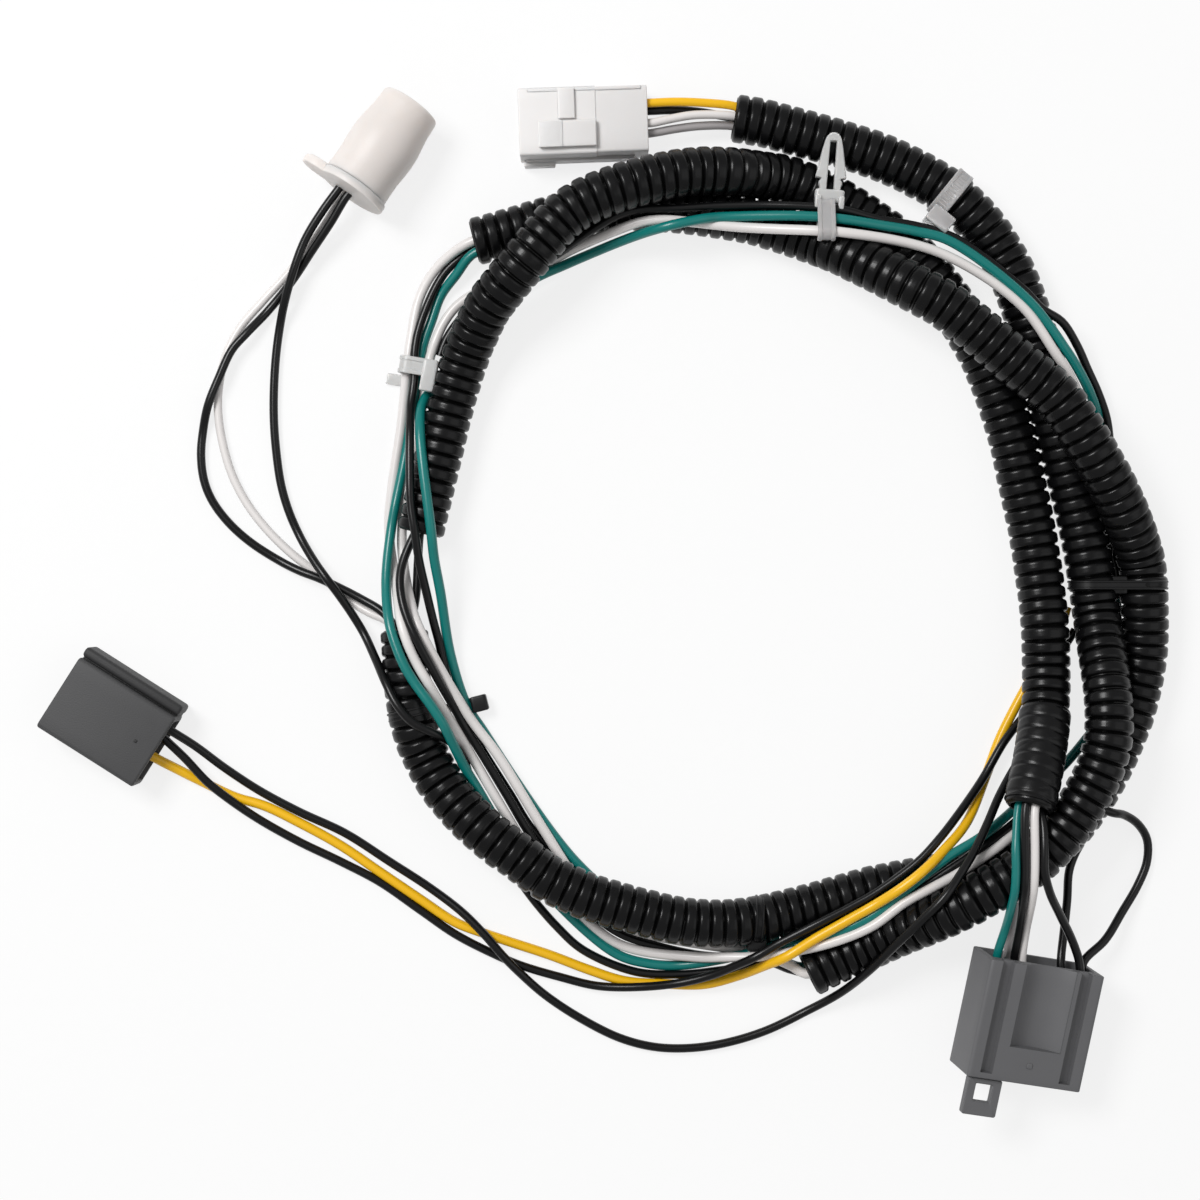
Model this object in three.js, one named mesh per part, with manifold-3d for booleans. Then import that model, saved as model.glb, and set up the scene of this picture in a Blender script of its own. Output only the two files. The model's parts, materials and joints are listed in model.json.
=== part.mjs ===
// A vehicle wiring harness as it lies on a flat surface: three corrugated conduits, their wires,
// four connectors, the tape and the ties. Millimetres, +Z up, the resting plane at z = 0, with the
// origin under the middle of the outline. +Y is the side of the white latch connector.
import * as THREE from 'three';
import { mergeVertices } from 'three/addons/utils/BufferGeometryUtils.js';
import Module from 'manifold-3d';

const wasm = await Module();
wasm.setup();

// Driving dimensions: clearances
const FIT = 0.3;
const REST_GAP = 0.05;

// Driving dimensions: conduit, wire and tape
const CONDUIT_OD = 12.6;
const CONDUIT_BORE = 10;
const CONDUIT_SIDES = 12;
const CONDUIT_SAG = 0.32;
const WIRE_OD = 2.1;
const WIRE_SIDES = 8;
const WIRE_SAG = 0.18;
const LONGEST_STEP = 26;
const TAPE_THICKNESS = 0.4;
const TAPE_LENGTH = 27;
const TAPE_SETBACK = 1.5;

// Driving dimensions: crimp terminals
const BARREL_SIDE = 1.6;
const BLADE_WIDTH = 1.4;
const BLADE_THICKNESS = 0.7;
const BLADE_REACH = 5;
const SEAT_LENGTH = 4;

// Driving dimensions: grey body connector, leaning on its right lower edge and its arm
const GREY = {
  width: 33, length: 32.5, height: 15.5, corner: 1.2, wall: 1.8, floor: 1.8, roof: 4,
  cavityDepth: 14, pocketDepth: 12,
};
const GREY_PLACE = { x: 114.9, y: -113.5, yaw: -11.3, pitch: 4, roll: 12 };
const GREY_RECESS = { width: 14.8, length: 22.8, depth: 2.2, x: 1.1 };
const GREY_GROOVE = { depth: 0.9, width: 2.2, pitch: 5.5, count: 4, bottom: 2.5 };
const GREY_TAB = { width: 9.8, length: 10.4, thickness: 2.4, window: 4.9, rim: 1.6, drop: 1.5, x: -10.4 };
const GREY_ARM = { width: 6, length: 18, x: -9.5 };
const GREY_LOCK = { thickness: 2 };

// Driving dimensions: white latch connector, lying flat
const WHITE = {
  width: 18.6, length: 35.3, height: 12, corner: 0.8, wall: 1.5, floor: 1.5, roof: 1.5,
  cavityDepth: 17, pocketDepth: 5,
};
const WHITE_PLACE = { x: -4.6, y: 131.2, z: REST_GAP, yaw: -88 };
const WHITE_SKIRT = { reach: 1.3, height: 5.5, length: 30, y: -1 };
const WHITE_FOOT = { width: 1.4, length: 5, height: 4, y: -11 };
const WHITE_RAIL = { width: 8.4, length: 4.9, rise: 1.1, x: -4.5, y: -4.5 };
const WHITE_LEVER = { width: 7.2, length: 15.8, thickness: 1.4, x: 3.9, y: -4.4 };

// Driving dimensions: black plug, lying flat
const BLACK = {
  width: 22.5, length: 31.1, height: 13, corner: 1.6, wall: 1.8, floor: 1.8, roof: 1.8,
  cavityDepth: 14, pocketDepth: 8,
};
const BLACK_PLACE = { x: -134.8, y: -33.3, z: REST_GAP, yaw: -122.4 };
const BLACK_RAIL = { width: 2.4, length: 29, height: 12, gap: 0.8, bridge: 8 };
const BLACK_BUTTON = { radius: 1.1, rise: 0.5, x: 0, y: 9.7 };

// Driving dimensions: round white socket, its mouth at the place's origin and its axis along +Y
const ROUND = {
  mouth: 8.5, waist: 9.85, base: 9.5, collar: 5, shoulder: 17, length: 29.6, bore: 6.9, pocket: 6.2,
  cavityDepth: 16, pocketDepth: 8,
};
const ROUND_PLACE = { x: -51.8, y: 135.6, yaw: 146.1 };
const ROUND_SIDES = 24;
const FLANGE = { thickness: 2.5, radius: 10, earRadius: 4.6, earReach: 11.2, holeRadius: 1.7 };

// Driving dimensions: ties, each a loop with its clear width and height, and its ratchet head
const STRAP_THICKNESS = 0.9;
const TIES = [
  {
    name: 'tie_push_mount', width: 10.5, height: 3.3, corner: 1.4, strap: 4.8, colour: 'natural',
    at: { x: 61.2, y: 103, z: 17.9, yaw: -90, roll: -20 },
  },
  {
    name: 'tie_conduit_inner', width: 14, height: 14, corner: 6.9, strap: 4.8, colour: 'natural',
    head: { width: 4.4, length: 6.6, height: 7, x: 8.9, y: 2, z: -4 },
    at: { x: 96.1, y: 111.4, z: 7.95, yaw: -129 },
  },
  {
    name: 'tie_trunk_left', width: 8.9, height: 4.9, corner: 1.6, strap: 4.8, colour: 'natural',
    head: { width: 4.1, length: 8.8, height: 3.8, x: 2.6, y: -2.2, z: 2.9 },
    at: { x: -50.3, y: 64.4, z: 3.6, yaw: -10 },
  },
  {
    name: 'tie_trunk_conduit', width: 28.2, height: 16.1, corner: 4.5, strap: 2.5, colour: 'tie',
    head: { width: 3.6, length: 4.4, height: 5, x: 16, y: 0, z: -3 },
    at: { x: -44.9, y: -29.1, z: 9.3, yaw: 14.4 },
  },
  {
    name: 'tie_lower_run', width: 25.2, height: 13.8, corner: 2.6, strap: 2.5, colour: 'tie',
    head: { width: 3.6, length: 5.2, height: 3.6, x: 0.8, y: 0, z: 7.1 },
    at: { x: 43.3, y: -92.5, z: 8.05, yaw: -93 },
  },
  {
    name: 'tie_conduit_pair', width: 27.6, height: 13.4, corner: 6.6, strap: 4.8, colour: 'tie',
    at: { x: 142.2, y: 4.1, z: 7.85, yaw: 0 },
  },
];

// Driving dimensions: push mount, lying on two conduits
const MOUNT = {
  tip: 17.5, wing: 8.6, neck: 5.2, slot: 1.9, root: 5.4, blockLength: 2.2, blockWidth: 8, thickness: 3,
};
const MOUNT_PLACE = { x: 62.3, y: 109.4, z: 13.2, yaw: -4.5 };

// Routes of the conduits and wires, from point to point. A connector's wire keeps its first points with its
// connector: they are offsets from the connector's place, and move with it.
const HELD_POINTS = 3;
const HOLDERS = { latch: WHITE_PLACE, plug: BLACK_PLACE, socket: ROUND_PLACE, body: GREY_PLACE };
const ROUTES = {
  conduit_inner: [
    [36.9, 132.6, 6.5], [44.6, 131.3, 6.5], [52.3, 129.3, 6.5], [64.4, 126, 6.5], [77.1, 121.9, 6.5],
    [87.7, 116.9, 6.9], [96.2, 111.5, 7.7], [105.3, 102.6, 6.9], [109.5, 96.6, 6.5], [113.4, 89.7, 6.5],
    [116.1, 82.8, 6.5], [120.5, 68.8, 6.5], [123.8, 55, 6.5], [127.4, 41.3, 6.5], [131, 27.5, 6.5],
    [133.4, 16.5, 7], [134.9, 6.9, 7.7], [136.2, -2.7, 8], [136.9, -12.3, 11.4], [137.5, -21.7, 15.4],
    [137.8, -29.8, 17.8], [137.3, -37.8, 19], [135.3, -45.1, 19.2], [132.4, -51.3, 19.2],
    [128.3, -58.1, 19.2], [123.7, -64.3, 19.2], [118.9, -69.2, 19.2], [112.9, -73.8, 19.2],
    [105.4, -78.4, 18.8], [97.8, -82.9, 17.6], [89.7, -87, 14.8], [82, -90.7, 11.2], [74.2, -94.8, 7.8],
    [66.6, -98.2, 6.5], [57.2, -102.9, 6.5],
  ],
  conduit_outer: [
    [-34.7, 98.5, 6.5], [2.8, 107.9, 6.5], [38.5, 105.1, 6.5], [49.5, 102.1, 6.6], [59, 98.6, 8],
    [65.1, 95.7, 11.1], [85.4, 84.1, 18.8], [94.3, 78.9, 19.2], [114.5, 62.4, 19.2],
    [123.5, 54.8, 19.2], [134.2, 38.9, 18.4], [142.6, 24.5, 14.1], [148.6, 10.4, 8], [149.4, 1.9, 7.8],
    [149.7, -12.4, 6.5], [148.9, -19.3, 6.5], [146.1, -31.1, 6.5], [143.4, -38, 6.5],
    [140.4, -44.9, 6.5], [135.4, -53.7, 6.5], [122.5, -68.2, 6.5], [73.5, -80.1, 6.5],
    [59.2, -84.2, 6.5], [51.4, -86.1, 6.9], [44.2, -87.6, 7.9], [36.5, -88.5, 9.2], [28.5, -88.5, 9.9],
    [20.5, -87.5, 10.6], [-3, -81.1, 11.7], [-8.7, -78.7, 11.7], [-15.3, -75.4, 11.7],
    [-21.6, -70.7, 11.7], [-28.1, -66.1, 11.4], [-34.2, -61, 10.4], [-39.5, -55.7, 9], [-44, -50, 7.6],
    [-47.9, -42.9, 6.8], [-50.6, -36, 7.6], [-52.7, -24.7, 7.8], [-53.9, -8.3, 6.5],
  ],
  conduit_bridge: [
    [-49.5, 18.4, 6.5], [-43.8, 42.4, 6.5], [-41, 53.9, 6.5], [-36.8, 67, 8], [-33.9, 73.6, 10.5],
    [-30.5, 79.8, 13.5], [-26.3, 84.9, 16.4], [-20.5, 91.6, 18.8], [-14.9, 98.3, 19.3],
    [-9.2, 104.3, 19.3], [-2.7, 108.3, 19.3], [4.9, 111.3, 19], [11.6, 113.4, 18.2],
    [20.3, 115.5, 16.8], [27.7, 116.6, 15], [36.8, 116.7, 13], [45.3, 116.3, 8.9], [50.6, 115.8, 7],
    [57, 113.7, 6.5], [63.8, 110.4, 6.5], [71, 106.2, 6.5], [85.3, 95.5, 6.5], [96.9, 81.2, 6.5],
    [101.3, 74.3, 6.5], [104.9, 68, 6.5], [107.3, 62.7, 6.5], [109.8, 56.1, 6.5], [112.3, 48.4, 6.5],
    [114.2, 41.3, 6.5], [115.9, 33, 6.5], [117.5, 25.9, 6.5], [119.2, 17.3, 6.5], [121.4, 0.5, 8],
    [122, -8.2, 9.3], [122.2, -17.8, 9.8], [121.7, -27.3, 12.2], [120.2, -36.6, 16],
    [118.3, -44.5, 19.6], [116.4, -51.1, 22.4], [115, -56, 24.2],
  ],
  wire_latch_yellow: [
    [15.6, 5.1, 9], [18, 5.1, 9], [25.2, 5.4, 9], [28.8, 136.4, 8.6], [36.5, 135.7, 8],
    [41.2, 134.1, 7.6], [47.3, 132.5, 7.4],
  ],
  wire_latch_black: [
    [15.6, 3.3, 7], [18.3, 3.3, 7], [24.4, 3.6, 6.6], [27.6, 134.5, 5.4], [36.7, 133.1, 4.2],
    [42, 132.3, 3.9], [47.5, 130.9, 3.9],
  ],
  wire_latch_white: [
    [15.8, -0.4, 9], [18.6, -0.4, 9], [23.8, 0.7, 9], [26, 133, 9], [36.5, 132.8, 8.6],
    [42.5, 131.4, 8.8], [47.2, 130, 9],
  ],
  wire_latch_grey: [
    [16.1, -3.1, 7], [18.9, -2.8, 7], [25.2, -1.6, 6.6], [27.5, 130.5, 6.2], [36.6, 130.6, 5.6],
    [41.9, 129.2, 5.6], [47.4, 128.1, 5.8],
  ],
  wire_socket_black_1: [
    [-15.3, -22.4, 9.4], [-17.8, -25.1, 9.2], [-22.1, -31.8, 7.8], [-79.4, 96.2, 5.6],
    [-85.1, 88.2, 3.4], [-92, 80, 2], [-97.8, 73.5, 3.9], [-101.7, 69.1, 3.9], [-105.2, 61.6, 3.9],
    [-108.3, 53.9, 3.6], [-110, 47.1, 1.5], [-110.6, 40.2, 1.4], [-109.8, 33.3, 1.4],
    [-107.6, 27.7, 1.4], [-103.1, 21.6, 1.4], [-97, 16.1, 1.4], [-88.7, 10.8, 1.6], [-83, 8, 3],
    [-77.9, 6.1, 3.9], [-71.8, 3.3, 4], [-65.4, 0, 4.6], [-60.3, -3, 6], [-56.9, -6.6, 7.2],
    [-54.9, -11, 7.8], [-54.4, -17.9, 7.8],
  ],
  wire_socket_white: [
    [-17.2, -23.1, 7], [-19.5, -25.5, 6.6], [-24.9, -33.2, 4.6], [-81.6, 96.3, 2.8], [-86.8, 90.1, 1.4],
    [-93.7, 82.6, 1.4], [-99.8, 75.4, 1.4], [-103.7, 67.9, 1.4], [-105.6, 59.6, 1.4],
    [-105.9, 52.7, 1.4], [-104.8, 44.4, 1.4], [-102, 34.7, 1.4], [-97.6, 26.3, 1.4], [-91.5, 18.6, 1.4],
    [-85.1, 12.5, 1.4], [-79, 7.8, 1.4], [-73.5, 3.3, 1.4], [-68.7, -0.6, 1.6], [-63.6, -3.6, 3],
    [-58.7, -5.8, 5], [-56.2, -9.4, 5.4], [-55.4, -13.8, 5], [-54.9, -19.3, 5],
  ],
  wire_socket_black_2: [
    [-18.4, -21, 9.4], [-24.5, -29.1, 8.6], [-29.3, -36.7, 7.4], [-84.5, 90.3, 6.4], [-86.9, 82.8, 4.6],
    [-88.6, 76.2, 2], [-89.8, 67.9, 1.4], [-90.4, 58.2, 1.4], [-90.4, 49.9, 1.4], [-89.8, 41.6, 1.4],
    [-88.4, 31.9, 1.4], [-86.2, 24.4, 1.4], [-83.1, 17.5, 1.8], [-78.9, 10.8, 4.8], [-75.4, 6.1, 6.7],
    [-72.1, 1.7, 6.4], [-68.4, -3.9, 4.6], [-65.1, -9.4, 4.4], [-61.8, -15.9, 7.6],
    [-58.3, -22.9, 12.9], [-55.2, -28.5, 15], [-51.1, -33.2, 15.2], [-45.4, -36.2, 14.3],
    [-40.6, -39.2, 9], [-37.5, -44.1, 4.7], [-35.5, -51.2, 2], [-32.7, -57.7, 1.4], [-28.6, -67.1, 1.4],
    [-24.4, -74.3, 1.4], [-19.4, -81.8, 1.4], [-11.6, -90.9, 1.4], [-4.7, -97, 1.4], [9.7, -103, 1.4],
    [22.2, -103.8, 1.4], [31.9, -102.8, 1.8], [40.1, -101.6, 2.4], [47.1, -103.8, 2.4],
    [52.4, -105.5, 5.6], [58.3, -105.1, 6.6], [67.7, -100.4, 6.6],
  ],
  wire_plug_black_1: [
    [15, -1.2, 9], [17.6, -2.9, 8.6], [23.3, -6.9, 6], [-103.7, -46.5, 3], [-94.3, -52.9, 1.4],
    [-83.2, -58.8, 1.4], [-70.7, -64.6, 1.4], [-58.2, -72.6, 1.4], [-47.1, -79.8, 1.4],
    [-38.2, -86.3, 3], [-31.8, -92.5, 4.2], [-27, -98, 4.6], [-22.1, -103.2, 3], [-15.2, -109.5, 1.4],
    [-5.5, -115.9, 1.4], [5.5, -121.4, 1.4], [15.2, -123.9, 1.4], [24.9, -124.2, 1.4],
    [34.7, -122.8, 1.4], [45.7, -119.5, 1.4], [56.8, -114.2, 1.4], [66.2, -108.3, 5.4],
    [73.6, -100.9, 12.8], [79.8, -93.6, 18], [86.1, -86.7, 21.6], [92.6, -79.7, 23.4],
    [97.5, -73.3, 21], [101.4, -67.6, 18.5], [105.4, -60.3, 15.6], [108.8, -53.7, 12.6],
    [113, -47.2, 9], [117.3, -41.3, 6],
  ],
  wire_plug_black_2: [
    [13.1, -3.1, 6], [15.5, -5.6, 5.6], [20.3, -10.3, 5], [-108.4, -50.2, 4.6], [-102.2, -55.2, 4],
    [-94.2, -60.9, 2], [-83.2, -67.1, 1.4], [-72.1, -72.4, 1.4], [-61, -78.2, 1.4], [-49.9, -85.9, 1.4],
    [-40.2, -92.6, 1.4], [-30.5, -97.6, 1.6], [-22.2, -101.2, 1.4], [-11.1, -104.5, 1.4],
    [-0.6, -106.9, 2], [11.1, -106.9, 3.8], [22.1, -105.7, 4.4], [30.8, -103.2, 6.8], [37, -100.2, 10],
    [42.3, -97.4, 12.8], [49.1, -93.5, 12.8], [58.5, -88.5, 14], [68.1, -83.6, 14], [74.9, -79.8, 14],
    [81.7, -75.1, 14], [87.1, -70.8, 14], [92.7, -64.9, 13], [98.6, -58, 10], [105.6, -49.1, 5.4],
    [111.6, -39.2, 3.9], [117.8, -31.6, 1.6], [122, -24.9, 1.4], [125.9, -17.7, 1.4],
    [129.2, -12.2, 1.4], [131.7, -8.3, 1.4],
  ],
  wire_plug_yellow: [
    [8.1, -7.5, 6], [11.3, -9.7, 5.4], [17.3, -13.2, 3], [-109.5, -50.7, 1.4], [-101.2, -54.6, 1.4],
    [-92.9, -57.1, 1.4], [-83.2, -61.8, 1.4], [-72.1, -67.9, 1.4], [-61, -75.4, 1.4],
    [-49.9, -82.9, 1.4], [-40.2, -89.3, 1.4], [-33.3, -92, 1.4], [-24.9, -94.8, 1.4],
    [-13.9, -98.4, 1.4], [-2.8, -102.6, 1.4], [6.9, -105.6, 1.4], [18, -106.4, 1.6],
    [29.1, -106.3, 2.6], [38.6, -103.5, 4.6], [45.2, -100.1, 9.9], [50.4, -97.3, 14],
    [58.5, -92.2, 14.4], [66.6, -87.5, 15], [74.7, -82.8, 15.7], [81.2, -78.2, 18.3],
    [87.1, -73.6, 18.4], [93.6, -68, 14.6], [100.6, -60.9, 9], [106.9, -48.7, 2], [110.9, -38.3, 1.4],
    [116.2, -27.7, 1.4], [120.9, -19.4, 1.4], [125, -11.9, 1.4], [128, -6.1, 1.8], [129.4, -1.9, 1.8],
  ],
  wire_trunk_green_1: [
    [-24.8, 98.5, 6.3], [-35, 95.4, 5.4], [-39.8, 89.8, 3.4], [-44.1, 84.3, 1.6], [-46.6, 77.6, 1.4],
    [-49, 70.6, 2], [-50.2, 64.5, 2.4], [-51.2, 58.2, 2], [-53.9, 40.2, 1.4], [-56.4, 26.8, 3.8],
    [-57.7, 19.3, 4], [-58.8, 5.5, 7.2], [-57.5, -6, 12.8], [-56.1, -10.9, 14], [-53.3, -17.7, 15],
    [-50, -23.1, 15.2], [-46.2, -28.2, 15.8], [-42.7, -33.7, 15], [-39.9, -39.9, 11.6],
    [-37.1, -46.1, 7.8], [-33.9, -51.8, 5.2], [-26.2, -64.9, 3.8], [-18.8, -75.1, 3.8],
    [-11.1, -84.8, 1.6], [4.2, -97.9, 1.4], [12.5, -100.6, 1.4], [22.2, -101.2, 1.6],
    [39.9, -97.4, 6.9], [48, -95, 8.2], [54.8, -94.3, 10.1], [68.6, -88.8, 13.8], [74, -86, 14],
    [81, -80.5, 15], [85.5, -76.8, 15.7], [90.2, -73.1, 15.5], [95.2, -69.6, 14.6], [103.9, -64.6, 13],
    [118.5, -54.5, 2.4], [128.1, -46.3, 1.4], [138.6, -33.8, 1.4],
  ],
  wire_trunk_white_1: [
    [-26.1, 101.1, 7.6], [-31.6, 99.8, 7.4], [-36.3, 98.2, 6.6], [-41.4, 95.2, 4.4], [-46.5, 90.2, 2.4],
    [-50.2, 83.2, 1.4], [-52.3, 72.6, 2], [-53.4, 64.5, 2.4], [-54, 58.2, 1.8], [-54.6, 52.7, 1.4],
    [-55.4, 45.7, 1.4], [-56.6, 38.3, 1.4], [-57.7, 30.5, 1.4], [-58.5, 22.2, 1.4], [-58.2, 15.2, 1.4],
    [-57.3, 9.7, 3], [-56.2, 4.1, 6], [-55.3, -0.5, 9.6], [-54.2, -6, 13.5], [-52.5, -11.4, 14.5],
    [-50.1, -16.9, 13.9], [-47.1, -22.3, 13.3], [-43.8, -28.5, 9.6], [-40, -35.3, 5],
    [-22.4, -65.2, 3.8], [-15.2, -76.3, 3.8], [-8.3, -84.2, 1.8], [5.5, -95.5, 1.4], [26.2, -98.5, 4.6],
    [34.3, -98.1, 7.8], [41.1, -97.8, 9.9], [47.9, -97, 10.6], [62.7, -93.5, 13.2], [74, -88.7, 14.7],
    [82.8, -82.1, 15.9], [89.6, -78.4, 16], [95.1, -75.6, 15.1], [109.1, -67.1, 12.4],
    [118.7, -60.7, 4.4], [123.5, -56.8, 2],
  ],
  wire_trunk_black_1: [
    [-25.4, 100.5, 4.2], [-31.5, 99.1, 4.2], [-40.9, 92.7, 2.8], [-44.8, 87.7, 2.8], [-49.7, 76, 3.8],
    [-51.1, 69, 4.5], [-51.3, 60.7, 4.6], [-52.1, 53.7, 6], [-52, 46.5, 10.4], [-51.8, 32.7, 13.2],
    [-51.5, 25.9, 13.6], [-50.4, 18.5, 13.8], [-49.4, 10.9, 12], [-47.4, 2.2, 9.4], [-45.1, -5.5, 7.4],
    [-43, -11.6, 5.6], [-41.4, -17.1, 4.4], [-39.8, -22.7, 3], [-37.6, -28.8, 2.7], [-33.8, -36.6, 1.4],
    [-29.9, -44.4, 1.4], [-24.4, -54.3, 1.4], [-19.4, -62.7, 1.4], [-9.4, -73.2, 1.6],
    [-4.7, -76.6, 3.5], [0, -79, 3.9], [11.1, -84, 3.8], [18.8, -87.2, 2.4], [27.7, -90.6, 2.1],
    [37.4, -93.4, 2.3], [44.3, -94.6, 2.9], [52.3, -94.2, 6.2], [57.5, -91.6, 9.7], [62.8, -89, 11.7],
    [73.8, -86.9, 11.5], [83.1, -81.2, 13.3], [89.8, -76.8, 14.1], [103.9, -67.6, 13],
    [118.6, -58.1, 3.2], [123.6, -53.8, 1.6],
  ],
  wire_trunk_white_2: [
    [136.3, 42, 3.2], [132.6, 53.6, 6.8], [128.7, 60.7, 11.4], [124.1, 67, 14], [114.3, 80.6, 14],
    [92.6, 94.5, 14], [64.8, 99.4, 19.5], [58.1, 99.9, 18.7], [38.1, 101.5, 14], [16.9, 103.5, 13.8],
    [10.9, 103, 13], [4.1, 100.9, 11], [-6.9, 97.2, 4], [-12.2, 94.8, 1.5], [-27.7, 88.4, 1.5],
    [-38.8, 82.3, 1.5], [-43, 77.3, 1.5], [-45.7, 71.5, 1.5], [-47.3, 65.9, 2.6], [-48.3, 59, 2],
    [-54.1, 27.7, 1.5], [-54.9, 18.6, 1.5], [-54.5, 11.1, 2.4], [-50.9, -2.5, 10.2],
    [-47.8, -8.7, 12.4], [-40.6, -20.6, 9], [-36.9, -27, 6.6], [-33.1, -33.7, 4.6], [-27.1, -42.8, 3.8],
    [-15.2, -64.1, 3.8], [-4.7, -80, 4.5], [1.9, -87.2, 1.6], [8.3, -91.1, 1.5], [16.6, -93.4, 1.5],
    [33.1, -95.7, 4.8], [40, -96.6, 4.5], [46.8, -98.3, 6], [52.2, -100.3, 7.6], [57.1, -102.6, 8.8],
    [66.4, -97.9, 8.8],
  ],
  wire_trunk_green_2: [
    [143.9, -11.1, 1.4], [143.4, -1.4, 2.5], [142, 6.9, 2.4], [138.8, 41.6, 1.6], [137.8, 49.7, 4],
    [135, 56.4, 6.9], [131.2, 62.7, 10], [127.2, 68.2, 12.4], [116.5, 81.6, 14.2], [95.3, 97.7, 14],
    [85.7, 100.4, 14], [76, 101.8, 15.6], [65, 103.2, 17.7], [54.2, 104.1, 17], [32.7, 104.2, 14.3],
    [27.7, 103.4, 16.2], [18.4, 101.4, 16.6], [8.2, 99.2, 9.6], [-11.1, 92.3, 1.4], [-19.4, 88.4, 1.4],
    [-34.9, 77.6, 1.4], [-42, 66, 1.4], [-43.9, 61.5, 1.4], [-47, 57.5, 3.3], [-48.8, 54.3, 5.6],
    [-49.2, 46.2, 11.4], [-46, 19.1, 14.2], [-45.3, 11.5, 12], [-43.6, 2.2, 8.6], [-39.5, -15.2, 3.4],
    [-34.6, -29.1, 2.4], [-31, -35.5, 1.4], [-6.7, -72.6, 1.4], [11.1, -86.8, 1.4], [31.9, -94.5, 1.5],
    [40.1, -96.4, 2.7], [47.1, -98.5, 2.4], [52.5, -100.6, 3.6], [56.3, -101.2, 5], [65.6, -96.5, 5],
  ],
  wire_trunk_black_2: [
    [-46.7, 28.8, 8.2], [-48.8, 21.9, 8.6], [-51.6, 16.5, 8.6], [-54, 10.4, 9.6], [-54.7, 5.5, 11.2],
    [-54, 0, 13], [-52.3, -5.4, 14.2], [-49.5, -11.4, 14.8], [-46.3, -17.7, 13], [-43.5, -23.3, 10.4],
    [-40.7, -28.6, 7], [-37, -35.6, 4], [-32.3, -43.1, 3.8], [-25.8, -53.9, 3.8], [-20.2, -63.5, 3.8],
    [-13.8, -72.9, 3.8], [-6.6, -81.9, 3], [0.1, -88.8, 1.4], [6.9, -93.1, 1.4], [16.6, -96.1, 1.4],
    [27.7, -98.4, 1.6], [40.1, -99.1, 2.7], [47.1, -101.3, 2.4], [52.5, -103.1, 3.2], [57.6, -103.7, 4],
    [67, -99, 4],
  ],
  wire_trunk_black_3: [
    [-48, 27.6, 4.6], [-49.7, 18.5, 4.6], [-50.2, 11, 4.8], [-50.7, 1.4, 5.2], [-52.3, -8.8, 6],
    [-51.8, -17.9, 6],
  ],
  wire_trunk_black_4: [
    [142.5, 1.1, 4.8], [142.4, 6.9, 4.7], [140.5, 16.6, 4.2], [140.3, 26.2, 3.9], [140.9, 33.1, 3.9],
    [140.9, 41.4, 4], [139.9, 49.7, 4.6], [137.7, 56.6, 4.6], [134.4, 63.4, 5.8], [131, 70, 7.8],
    [126.4, 76.1, 10.6], [121.3, 80.7, 13], [116.8, 85.2, 14], [110.5, 90.6, 14], [104.8, 95, 14],
    [96.6, 100.2, 14], [87.7, 102.9, 14], [76.1, 104.9, 15], [65.1, 106, 16.9], [54.3, 106.9, 16.2],
    [43.5, 107.4, 14.6], [32.7, 107.3, 14], [21.8, 106.7, 14], [10.9, 106.4, 14], [4.9, 104.8, 14],
    [0, 102.2, 13], [-5.5, 99.1, 9.8], [-10.5, 96.1, 6], [-15.2, 93.4, 3.9], [-22.1, 89.2, 3.9],
    [-28.7, 85.1, 3.6], [-35.5, 81.2, 1.8], [-39.4, 77.1, 1.4], [-42.7, 72.1, 1.4], [-44.4, 67.6, 1.4],
  ],
  wire_body_green: [
    [-7.3, 14.6, 15], [-6.9, 18, 16], [-5.3, 24.2, 18], [110.5, -81.8, 24], [110.9, -77.2, 26.8],
    [111.1, -72.1, 27.2], [111.1, -66.2, 26.9], [111.6, -61, 25.4], [112.1, -56.6, 24.4],
    [113.5, -51.1, 22.5], [115.3, -44.5, 19.7],
  ],
  wire_body_black_1: [
    [-2.2, 13.9, 14], [-2.1, 17.3, 15], [-1.4, 24.1, 17.6], [113.5, -81.9, 23.6], [113.5, -76.9, 26.8],
    [113.6, -71.5, 27.4], [113.4, -65.6, 27.6], [113.4, -60.3, 27.6], [113.6, -56.1, 27.2],
    [114.8, -50.9, 25.5], [116.6, -44.3, 22.7],
  ],
  wire_body_white: [
    [0.1, 13.5, 13.5], [0, 16.6, 14], [0.7, 23.9, 16], [115.9, -82, 22.6], [116, -77, 26.2],
    [116.1, -71.5, 27.3], [116.1, -65.7, 27.4], [116, -60.3, 27.2], [116.2, -56.1, 26.6],
    [117.6, -50.9, 24.8], [119.5, -44.4, 22],
  ],
  wire_body_grey: [
    [-5.3, 6.9, 11], [-4.2, 12.3, 11], [-3.5, 16.6, 10.5], [113.2, -90.9, 6], [115, -85.3, 1.8],
    [115.6, -81.5, 1.4], [116.3, -77.5, 1.4],
  ],
  wire_body_black_2: [
    [16, 12.4, 13], [15.6, 15.4, 13.2], [13.4, 21.1, 15], [124.2, -85, 19.6], [120.6, -78.5, 24.6],
    [118.8, -72.6, 27], [118.7, -66.7, 27.2], [118.7, -61, 25.8], [118.3, -56.1, 23.8],
    [119.7, -51.1, 22], [121.6, -44.6, 19.2],
  ],
  wire_body_black_3: [
    [11.5, 12, 9], [11.6, 15.3, 8.6], [12.9, 22.6, 6], [129.1, -82.9, 3.6], [130, -75.4, 1.4],
    [131.4, -71, 1.4], [133.3, -67.4, 1.4],
  ],
  wire_body_black_4: [
    [16.9, 11.5, 9], [18, 14.8, 9], [24, 20, 7], [144.2, -86.2, 4], [149, -78.9, 2],
    [151.6, -72.6, 1.4], [151.6, -66.5, 1.8], [148.6, -61.9, 4], [144.1, -59.1, 7], [140.5, -58.3, 10],
  ],
};

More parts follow.
